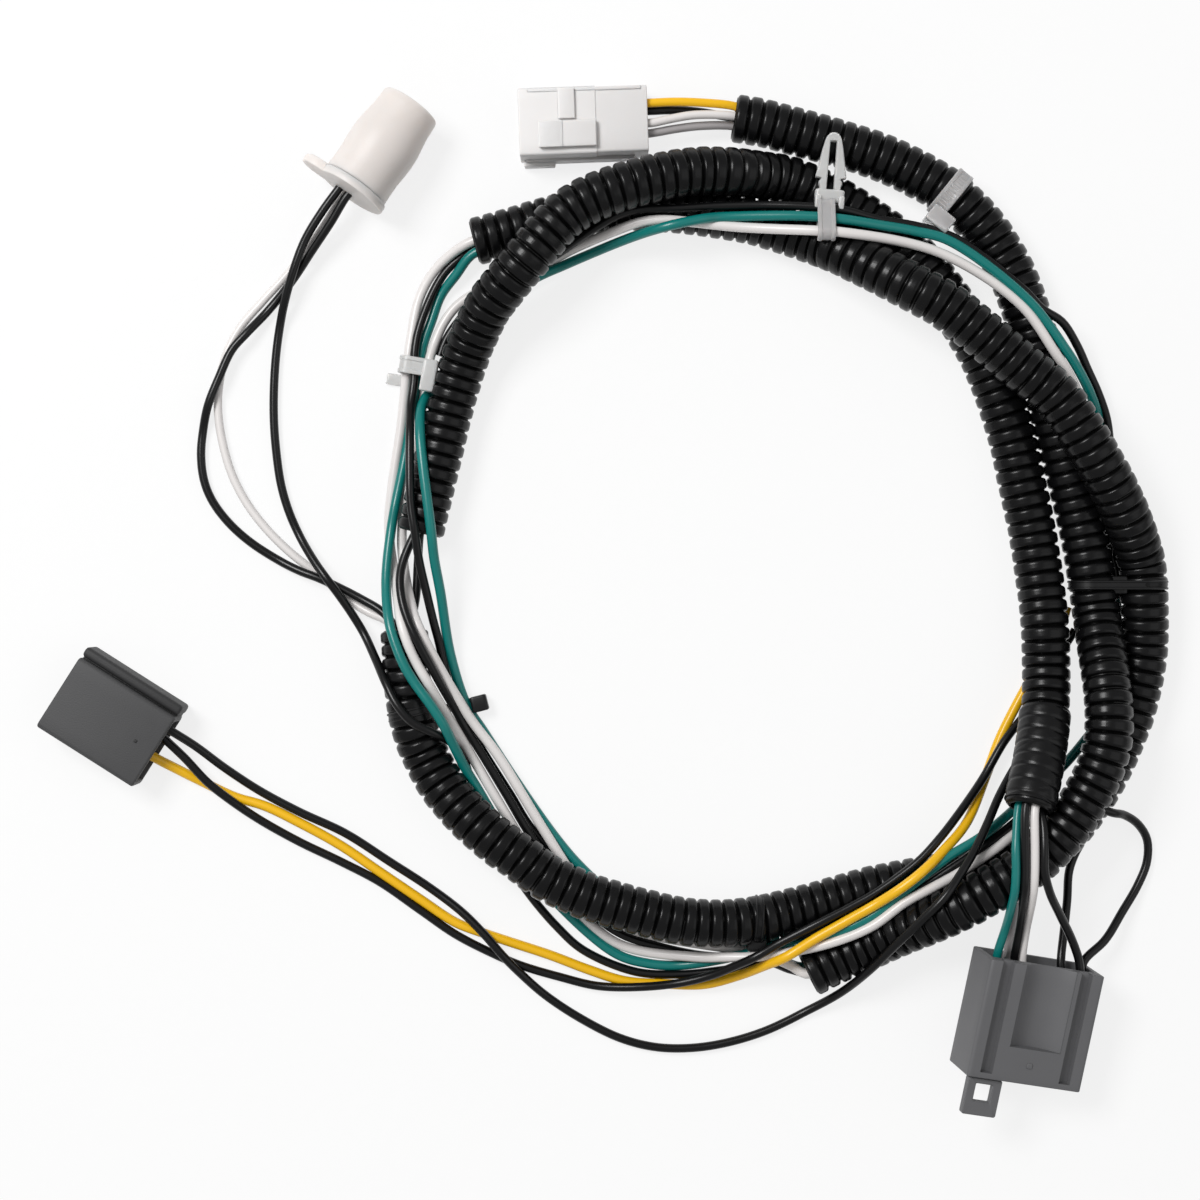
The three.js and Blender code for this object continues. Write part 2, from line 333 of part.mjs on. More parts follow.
for (const [name, points] of Object.entries(ROUTES)) {
  const holder = HOLDERS[name.split('_')[1]];
  if (name.startsWith('wire_') && holder) {
    ROUTES[name] = points.map(([x, y, z], index) => (
      index < HELD_POINTS ? [x + holder.x, y + holder.y, z] : [x, y, z]));
  }
}

// Finishes
const FINISH = {
  conduit: { color: 0x1c1d1f, roughness: 0.55, metalness: 0 },
  tape: { color: 0x141415, roughness: 0.6, metalness: 0 },
  tie: { color: 0x151516, roughness: 0.45, metalness: 0 },
  natural: { color: 0xdedad0, roughness: 0.4, metalness: 0 },
  grey: { color: 0x62656a, roughness: 0.6, metalness: 0 },
  white: { color: 0xe9e7e1, roughness: 0.4, metalness: 0 },
  charcoal: { color: 0x2a2b2d, roughness: 0.75, metalness: 0 },
  tin: { color: 0xb9bbbd, roughness: 0.35, metalness: 1 },
};

const WIRE_COLOURS = {
  black: 0x161617, white: 0xe6e4de, green: 0x1f7a43, yellow: 0xd8c22c, grey: 0x9c9b96,
};

function finish(name) {
  return new THREE.MeshStandardMaterial(FINISH[name]);
}

function wireFinish(colour) {
  return new THREE.MeshStandardMaterial({ color: WIRE_COLOURS[colour], roughness: 0.35, metalness: 0 });
}

// A smooth path through hand-placed points, with samples closer together where it bends
class BentPath extends THREE.CatmullRomCurve3 {
  constructor(points, sag) {
    super(points.map((point) => new THREE.Vector3(...point)), false, 'centripetal');
    this.stops = this.placeStops(sag);
  }

  placeStops(sag) {
    const samples = 10 * (this.points.length - 1);
    const stops = [0];
    let run = 0;
    let turn = 0;
    for (let i = 1; i < samples; i += 1) {
      const t = i / samples;
      run += this.getPoint(t).distanceTo(this.getPoint((i - 1) / samples));
      turn += this.getTangent(t).angleTo(this.getTangent((i - 1) / samples));
      if (run * turn > 8 * sag || run > LONGEST_STEP) {
        stops.push(t);
        run = 0;
        turn = 0;
      }
    }
    stops.push(1);
    return stops;
  }

  getUtoTmapping(u) {
    const place = u * (this.stops.length - 1);
    const index = Math.min(Math.floor(place), this.stops.length - 2);
    return THREE.MathUtils.lerp(this.stops[index], this.stops[index + 1], place - index);
  }
}

function ringPoints(radius, sides) {
  const points = [];
  for (let i = 0; i < sides; i += 1) {
    const angle = (2 * Math.PI * i) / sides;
    points.push(new THREE.Vector2(radius * Math.cos(angle), radius * Math.sin(angle)));
  }
  return points;
}

// A round tube along a path, solid when the bore is zero
function tube(path, outer, bore, sides) {
  const section = new THREE.Shape(ringPoints(outer / 2, sides));
  if (bore > 0) {
    section.holes.push(new THREE.Path(ringPoints(bore / 2, sides)));
  }
  const steps = path.stops.length - 1;
  return new THREE.ExtrudeGeometry(section, { extrudePath: path, steps, bevelEnabled: false });
}

// Solids for joining and cutting
function solid(geometry, x = 0, y = 0, z = 0) {
  geometry.translate(x, y, z);
  geometry.deleteAttribute('normal');
  geometry.deleteAttribute('uv');
  const merged = mergeVertices(geometry, 1e-4);
  return new wasm.Manifold(new wasm.Mesh({
    numProp: 3,
    vertProperties: merged.attributes.position.array,
    triVerts: Uint32Array.from(merged.index.array),
  }));
}

function geometryOf(body) {
  const mesh = body.getMesh();
  const geometry = new THREE.BufferGeometry();
  geometry.setAttribute('position', new THREE.BufferAttribute(mesh.vertProperties, 3));
  geometry.setIndex(new THREE.BufferAttribute(mesh.triVerts, 1));
  geometry.computeVertexNormals();
  return geometry;
}

// A box that stands on the height z, centred on x and y
function block(width, length, height, x = 0, y = 0, z = 0) {
  return solid(new THREE.BoxGeometry(width, length, height), x, y, z + height / 2);
}

function roundedOutline(width, length, radius, Kind = THREE.Shape) {
  const x = width / 2 - radius;
  const y = length / 2 - radius;
  const outline = new Kind();
  outline.absarc(x, y, radius, 0, Math.PI / 2);
  outline.absarc(-x, y, radius, Math.PI / 2, Math.PI);
  outline.absarc(-x, -y, radius, Math.PI, 1.5 * Math.PI);
  outline.absarc(x, -y, radius, 1.5 * Math.PI, 2 * Math.PI);
  outline.closePath();
  return outline;
}

function roundedBlock(width, length, height, radius) {
  const outline = roundedOutline(width, length, radius);
  return solid(new THREE.ExtrudeGeometry(outline, { depth: height, bevelEnabled: false, curveSegments: 3 }));
}

function cylinder(radius, length, sides) {
  return new THREE.CylinderGeometry(radius, radius, length, sides);
}

// The harness and its places
const harness = new THREE.Group();

function addMesh(parent, name, geometry, material) {
  const mesh = new THREE.Mesh(geometry, material);
  mesh.name = name;
  parent.add(mesh);
  return mesh;
}

// A place for a piece: turned by yaw about Z, then pitch about its X, then roll about its Y
function placeFor({ x, y, z = 0, yaw, pitch = 0, roll = 0 }) {
  const place = new THREE.Group();
  const turn = THREE.MathUtils.degToRad;
  place.position.set(x, y, z);
  place.rotation.set(turn(pitch), turn(roll), turn(yaw), 'ZXY');
  harness.add(place);
  place.updateMatrixWorld(true);
  return place;
}

// Where a wire begins, in the frame of the connector that holds it
function wireStart(place, name) {
  return place.worldToLocal(new THREE.Vector3(...ROUTES[name][0]));
}

// Conduits and tape
const conduitPaths = {};
for (const name of ['conduit_inner', 'conduit_outer', 'conduit_bridge']) {
  conduitPaths[name] = new BentPath(ROUTES[name], CONDUIT_SAG);
  const geometry = tube(conduitPaths[name], CONDUIT_OD, CONDUIT_BORE, CONDUIT_SIDES);
  addMesh(harness, name, geometry, finish('conduit'));
}

// The tape lies round the last stretch of the bridge conduit, a little short of its mouth
function tapeWrap() {
  const path = new THREE.CatmullRomCurve3(conduitPaths.conduit_bridge.points, false, 'centripetal');
  const points = path.getSpacedPoints(Math.round(path.getLength()));
  const last = points.length - 1 - Math.round(TAPE_SETBACK);
  const covered = [];
  for (let i = last - Math.round(TAPE_LENGTH); i <= last; i += 3) {
    covered.push(points[i].toArray());
  }
  const bore = CONDUIT_OD + 2 * FIT;
  return tube(new BentPath(covered, CONDUIT_SAG), bore + 2 * TAPE_THICKNESS, bore, CONDUIT_SIDES);
}
addMesh(harness, 'conduit_mouth_tape', tapeWrap(), finish('tape'));

// Wires: each name ends with its colour or with its colour and a number
for (const name of Object.keys(ROUTES)) {
  if (name.startsWith('wire_')) {
    const colour = name.split('_')[2];
    const geometry = tube(new BentPath(ROUTES[name], WIRE_SAG), WIRE_OD, 0, WIRE_SIDES);
    addMesh(harness, name, geometry, wireFinish(colour));
  }
}

// A connector housing: mating cavity at -Y, wire pocket at +Y and a hole for each terminal between
function housing(size, cells) {
  const half = size.length / 2;
  const innerWidth = size.width - 2 * size.wall;
  const innerHeight = size.height - size.floor - size.roof;
  const spare = 1;
  const cavityY = -half + size.cavityDepth / 2 - spare / 2;
  const pocketY = half - size.pocketDepth / 2 + spare / 2;
  let body = roundedBlock(size.width, size.length, size.height, size.corner);
  body = body.subtract(block(innerWidth, size.cavityDepth + spare, innerHeight, 0, cavityY, size.floor));
  body = body.subtract(block(innerWidth, size.pocketDepth + spare, innerHeight, 0, pocketY, size.floor));
  const hole = BARREL_SIDE + 2 * FIT;
  for (const cell of cells) {
    body = body.subtract(block(hole, size.length - 2 * size.wall, hole, cell.x, 0, cell.z - hole / 2));
  }
  return body;
}

// A crimp terminal: a square barrel from the wire's end through the web, then a flat blade
function terminal(size, cell) {
  const webFront = -size.length / 2 + size.cavityDepth;
  const back = cell.y - FIT;
  const bladeFront = webFront - BLADE_REACH;
  const barrelLength = back - webFront;
  const barrel = block(BARREL_SIDE, barrelLength, BARREL_SIDE, cell.x, webFront + barrelLength / 2,
    cell.z - BARREL_SIDE / 2);
  const bladeLength = BLADE_REACH + SEAT_LENGTH;
  const blade = block(BLADE_WIDTH, bladeLength, BLADE_THICKNESS, cell.x, bladeFront + bladeLength / 2,
    cell.z - BLADE_THICKNESS / 2);
  return barrel.add(blade);
}

function addTerminals(place, prefix, size, wires, cells) {
  wires.forEach((wire, index) => {
    addMesh(place, `${prefix}_terminal_${index + 1}`, geometryOf(terminal(size, cells[index])), finish('tin'));
  });
}

// Grey body connector: thumb recess on top, grooved sides, lock tab in front, arm underneath
function addGreyConnector() {
  const lean = THREE.MathUtils.degToRad(GREY_PLACE.roll);
  const tip = THREE.MathUtils.degToRad(GREY_PLACE.pitch);
  const sideRise = Math.sin(lean) * Math.cos(tip);
  const lift = (GREY.width / 2) * sideRise + (GREY.length / 2) * Math.sin(tip);
  const place = placeFor({ ...GREY_PLACE, z: lift + REST_GAP });
  const wires = ['green', 'grey', 'black_1', 'white', 'black_3', 'black_2', 'black_4'];
  const cells = wires.map((wire) => wireStart(place, `wire_body_${wire}`));
  const half = GREY.length / 2;

  let body = housing(GREY, cells);
  const recessY = half - GREY_RECESS.length / 2 + FIT;
  const recessZ = GREY.height - GREY_RECESS.depth;
  body = body.subtract(block(GREY_RECESS.width, GREY_RECESS.length + FIT, GREY.height,
    GREY_RECESS.x, recessY, recessZ));
  for (const side of [-1, 1]) {
    for (let i = 0; i < GREY_GROOVE.count; i += 1) {
      const y = (i - (GREY_GROOVE.count - 1) / 2) * GREY_GROOVE.pitch;
      body = body.subtract(block(2 * GREY_GROOVE.depth, GREY_GROOVE.width, GREY.height,
        (side * GREY.width) / 2, y, GREY_GROOVE.bottom));
    }
  }

  // The arm reaches down to the resting plane below its lowest corner
  const armCorner = lift + (-GREY_ARM.x - GREY_ARM.width / 2) * sideRise - (GREY_ARM.length / 2) * Math.sin(tip);
  const armDrop = armCorner / (Math.cos(lean) * Math.cos(tip));
  body = body.add(block(GREY_ARM.width, GREY_ARM.length, armDrop + GREY.floor / 2, GREY_ARM.x, 0, -armDrop));
  addMesh(place, 'body_housing', geometryOf(body), finish('grey'));

  // Lock tab: a flat bridge with a window, rooted on the front face
  const tabY = -half - FIT - GREY_TAB.length / 2;
  const tabZ = GREY.height - GREY_TAB.drop - GREY_TAB.thickness;
  const windowY = -half - FIT - GREY_TAB.rim - GREY_TAB.window / 2;
  const tab = block(GREY_TAB.width, GREY_TAB.length, GREY_TAB.thickness, GREY_TAB.x, tabY, tabZ)
    .subtract(block(GREY_TAB.window, GREY_TAB.window, GREY.height, GREY_TAB.x, windowY, 0));
  addMesh(place, 'body_lock_tab', geometryOf(tab), finish('grey'));

  // Terminal lock: a plate in the mating cavity with a slot for each blade
  const plateWidth = GREY.width - 2 * GREY.wall - 2 * FIT;
  const plateHeight = GREY.height - GREY.floor - GREY.roof - 2 * FIT;
  const plateY = -half + GREY.cavityDepth - FIT - GREY_LOCK.thickness / 2;
  let plate = block(plateWidth, GREY_LOCK.thickness, plateHeight, 0, plateY, GREY.floor + FIT);
  for (const cell of cells) {
    plate = plate.subtract(block(BLADE_WIDTH + 2 * FIT, GREY_LOCK.thickness + 1, BLADE_THICKNESS + 2 * FIT,
      cell.x, plateY, cell.z - BLADE_THICKNESS / 2 - FIT));
  }
  addMesh(place, 'body_terminal_lock', geometryOf(plate), finish('white'));
  addTerminals(place, 'body', GREY, wires, cells);
}
addGreyConnector();

// White latch connector: skirt and foot along one side, rail and lever on top
function addWhiteConnector() {
  const place = placeFor(WHITE_PLACE);
  const wires = ['yellow', 'black', 'white', 'grey'];
  const cells = wires.map((wire) => wireStart(place, `wire_latch_${wire}`));
  const side = WHITE.width / 2;
  const skirt = block(2 * WHITE_SKIRT.reach, WHITE_SKIRT.length, WHITE_SKIRT.height, side, WHITE_SKIRT.y, 0);
  const footX = side + WHITE_SKIRT.reach;
  const foot = block(2 * WHITE_FOOT.width, WHITE_FOOT.length, WHITE_FOOT.height, footX, WHITE_FOOT.y, 0);
  const rail = block(WHITE_RAIL.width, WHITE_RAIL.length, 2 * WHITE_RAIL.rise,
    WHITE_RAIL.x, WHITE_RAIL.y, WHITE.height - WHITE_RAIL.rise);
  const inside = block(WHITE.width - WHITE.wall, WHITE.length + 2, WHITE.height - WHITE.wall, 0, 0, WHITE.wall / 2);
  const body = housing(WHITE, cells).add(skirt.subtract(inside)).add(foot.subtract(inside)).add(rail.subtract(inside));
  addMesh(place, 'latch_housing', geometryOf(body), finish('white'));

  const lever = block(WHITE_LEVER.width, WHITE_LEVER.length, WHITE_LEVER.thickness,
    WHITE_LEVER.x, WHITE_LEVER.y, WHITE.height + FIT);
  addMesh(place, 'latch_lever', geometryOf(lever), finish('white'));
  addTerminals(place, 'latch', WHITE, wires, cells);
}
addWhiteConnector();

// Black plug: a guide rail along one side behind a narrow groove, and a round button on top
function addBlackPlug() {
  const place = placeFor(BLACK_PLACE);
  const wires = ['black_1', 'black_2', 'yellow'];
  const cells = wires.map((wire) => wireStart(place, `wire_plug_${wire}`));
  const railX = -BLACK.width / 2 - BLACK_RAIL.gap - BLACK_RAIL.width / 2;
  const rail = block(BLACK_RAIL.width, BLACK_RAIL.length, BLACK_RAIL.height, railX, 0, 0);
  const bridge = block(2 * BLACK_RAIL.gap + BLACK.wall, BLACK_RAIL.length, BLACK_RAIL.bridge,
    -BLACK.width / 2 - BLACK_RAIL.gap + BLACK.wall / 4, 0, 0);
  const button = solid(cylinder(BLACK_BUTTON.radius, 2 * BLACK_BUTTON.rise, WIRE_SIDES).rotateX(Math.PI / 2),
    BLACK_BUTTON.x, BLACK_BUTTON.y, BLACK.height);
  const body = housing(BLACK, cells).add(rail).add(bridge).add(button);
  addMesh(place, 'plug_housing', geometryOf(body), finish('charcoal'));
  addTerminals(place, 'plug', BLACK, wires, cells);
}
addBlackPlug();

// Round white socket: a turned body with a bore at each end and an eared flange at the wire end
function addRoundSocket() {
  const place = placeFor({ ...ROUND_PLACE, z: FLANGE.radius + REST_GAP });
  const wires = ['black_1', 'white', 'black_2'];
  const cells = wires.map((wire) => wireStart(place, `wire_socket_${wire}`));
  const web = ROUND.length - ROUND.pocketDepth;
  const profile = [
    [0, ROUND.cavityDepth], [ROUND.bore, ROUND.cavityDepth], [ROUND.bore, 0], [ROUND.mouth, 0],
    [ROUND.mouth, ROUND.collar], [ROUND.waist, ROUND.collar + 1], [ROUND.waist, ROUND.shoulder],
    [ROUND.base, ROUND.shoulder + 1], [ROUND.base, ROUND.length], [ROUND.pocket, ROUND.length],
    [ROUND.pocket, web], [0, web],
  ];
  const outline = profile.map(([radius, y]) => new THREE.Vector2(radius, y));
  const turned = solid(new THREE.LatheGeometry(outline, ROUND_SIDES));

  const disc = cylinder(FLANGE.radius, FLANGE.thickness, ROUND_SIDES);
  const ear = cylinder(FLANGE.earRadius, FLANGE.thickness, ROUND_SIDES / 2);
  const flangeY = ROUND.length - FLANGE.thickness / 2;
  const arm = new THREE.BoxGeometry(FLANGE.earReach, FLANGE.thickness, 2 * FLANGE.earRadius);
  const opening = solid(cylinder(ROUND.pocket, 3 * FLANGE.thickness, ROUND_SIDES), 0, flangeY, 0);
  const earHole = solid(cylinder(FLANGE.holeRadius, 3 * FLANGE.thickness, WIRE_SIDES), FLANGE.earReach, flangeY, 0);
  const flange = solid(disc, 0, flangeY, 0)
    .add(solid(arm, FLANGE.earReach / 2, flangeY, 0))
    .add(solid(ear, FLANGE.earReach, flangeY, 0))
    .subtract(opening)
    .subtract(earHole);
  addMesh(place, 'socket_body', geometryOf(turned.add(flange)), finish('white'));

  // The contact carrier fills the base bore up to the wires
  const back = Math.min(...cells.map((cell) => cell.y)) - FIT;
  const carrierLength = back - web - FIT;
  const carrier = cylinder(ROUND.pocket - FIT, carrierLength, ROUND_SIDES / 2);
  carrier.translate(0, web + FIT + carrierLength / 2, 0);
  addMesh(place, 'socket_contact_carrier', carrier, finish('charcoal'));
}
addRoundSocket();

// A tie: a closed strap across its place's Y axis, with a ratchet head joined to it
function addTie({ name, width, height, corner, strap, head, at, colour }) {
  const place = placeFor(at);
  const outline = roundedOutline(width + 2 * STRAP_THICKNESS, height + 2 * STRAP_THICKNESS,
    corner + STRAP_THICKNESS);
  outline.holes.push(roundedOutline(width, height, corner, THREE.Path));
  const band = new THREE.ExtrudeGeometry(outline, { depth: strap, bevelEnabled: false, curveSegments: 4 });
  band.rotateX(Math.PI / 2);
  let body = solid(band, 0, strap / 2, 0);
  if (head) {
    const clear = block(width, 3 * strap + 2 * head.length, height, 0, 0, -height / 2);
    const box = block(head.width, head.length, head.height, head.x, head.y, head.z);
    body = body.add(box.subtract(clear));
  }
  addMesh(place, name, geometryOf(body), finish(colour));
}

TIES.forEach(addTie);

// Push mount: an arrow-shaped plug, its neck and the block that the strap runs beside
function addPushMount() {
  const place = placeFor(MOUNT_PLACE);
  const { tip, wing, neck, slot, root, blockLength, blockWidth, thickness } = MOUNT;
  const outline = new THREE.Shape();
  outline.moveTo(-blockWidth / 2, 0);
  outline.lineTo(blockWidth / 2, 0);
  outline.lineTo(blockWidth / 2, blockLength);
  outline.lineTo(neck / 2, blockLength);
  outline.lineTo(neck / 2, root);
  outline.lineTo(wing / 2, root);
  outline.lineTo(slot, tip);
  outline.lineTo(-slot, tip);
  outline.lineTo(-wing / 2, root);
  outline.lineTo(-neck / 2, root);
  outline.lineTo(-neck / 2, blockLength);
  outline.lineTo(-blockWidth / 2, blockLength);
  const split = new THREE.Path();
  split.moveTo(-slot / 2, root + slot);
  split.lineTo(slot / 2, root + slot);
  split.lineTo(slot / 2, tip - 3 * slot);
  split.lineTo(-slot / 2, tip - 3 * slot);
  outline.holes.push(split);
  const geometry = new THREE.ExtrudeGeometry(outline, { depth: thickness, bevelEnabled: false });
  addMesh(place, 'push_mount', geometry, finish('natural'));
}
addPushMount();

export default harness;
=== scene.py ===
# %% [markdown]
# # A wiring harness, dressed for the camera
# The real object is a small equipment harness: three lengths of corrugated conduit in a loose ring, 25
# insulated wires, four connectors, six nylon ties and a push mount, lying on a white table.
# The CAD model gives every piece its place. This file gives each piece its real surface: the ribs of the
# conduit, the soft edges of moulded plastic, the teeth of a tie, and a finish for each material.
# Shapes are worked out as whole numpy arrays. Lengths are written in millimetres, as a maker would write
# them, and turned into metres where a mesh is made.

import json
import math

import bpy
import numpy as np
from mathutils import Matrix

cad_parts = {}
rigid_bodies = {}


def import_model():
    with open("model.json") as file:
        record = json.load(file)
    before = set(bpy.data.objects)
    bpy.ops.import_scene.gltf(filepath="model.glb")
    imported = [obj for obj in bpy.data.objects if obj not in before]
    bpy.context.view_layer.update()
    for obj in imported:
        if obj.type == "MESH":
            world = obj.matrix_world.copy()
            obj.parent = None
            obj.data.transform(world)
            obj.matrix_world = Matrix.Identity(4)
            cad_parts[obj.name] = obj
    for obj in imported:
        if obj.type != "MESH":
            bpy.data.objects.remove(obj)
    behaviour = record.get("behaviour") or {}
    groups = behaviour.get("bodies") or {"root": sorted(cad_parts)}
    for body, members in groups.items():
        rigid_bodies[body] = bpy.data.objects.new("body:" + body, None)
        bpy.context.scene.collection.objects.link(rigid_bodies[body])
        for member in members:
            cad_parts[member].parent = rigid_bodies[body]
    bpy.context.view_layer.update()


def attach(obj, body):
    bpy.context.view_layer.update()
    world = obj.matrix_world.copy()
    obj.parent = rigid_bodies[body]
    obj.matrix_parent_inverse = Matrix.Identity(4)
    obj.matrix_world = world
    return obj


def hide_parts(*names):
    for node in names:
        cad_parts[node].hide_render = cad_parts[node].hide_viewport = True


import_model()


def add_object(name, data):
    """New object of the scene, made from a mesh, a lamp or a camera."""
    thing = bpy.data.objects.new(name, data)
    bpy.context.scene.collection.objects.link(thing)
    return thing


# %% [markdown]
# ## The camera
# The photograph looks straight down: the edges of every connector keep their shape and no side faces lean
# in. A square picture 333 mm wide at the table fits the harness as the photograph does. A lens of 76 mm at
# 700 mm keeps a little perspective, so taller pieces grow slightly, as they do in a real product photograph.

# %% Camera
CAMERA_HEIGHT = 0.700
PICTURE_WIDTH = 1.2 / 3.6
SENSOR_WIDTH = 36.0

camera_data = bpy.data.cameras.new("product_camera")
camera_data.sensor_width = SENSOR_WIDTH
camera_data.lens = SENSOR_WIDTH * CAMERA_HEIGHT / PICTURE_WIDTH
camera_data.clip_start = 0.01
camera_data.clip_end = 20.0
camera = add_object("product_camera", camera_data)
camera.location = (0.0, 0.0, CAMERA_HEIGHT)
bpy.context.scene.camera = camera
print("camera lens in mm:", round(camera_data.lens, 2))

# %% [markdown]
# ## Routes
# Each conduit and wire follows one smooth line through points measured on the photograph, in millimetres
# from the middle of the object. They are the CAD model's points, so that a piece drawn here lies where its
# CAD solid lies, but parts of nine wires are moved by up to 5 mm to meet the photograph more closely. The
# third number is the height of the middle of the tube above the table.

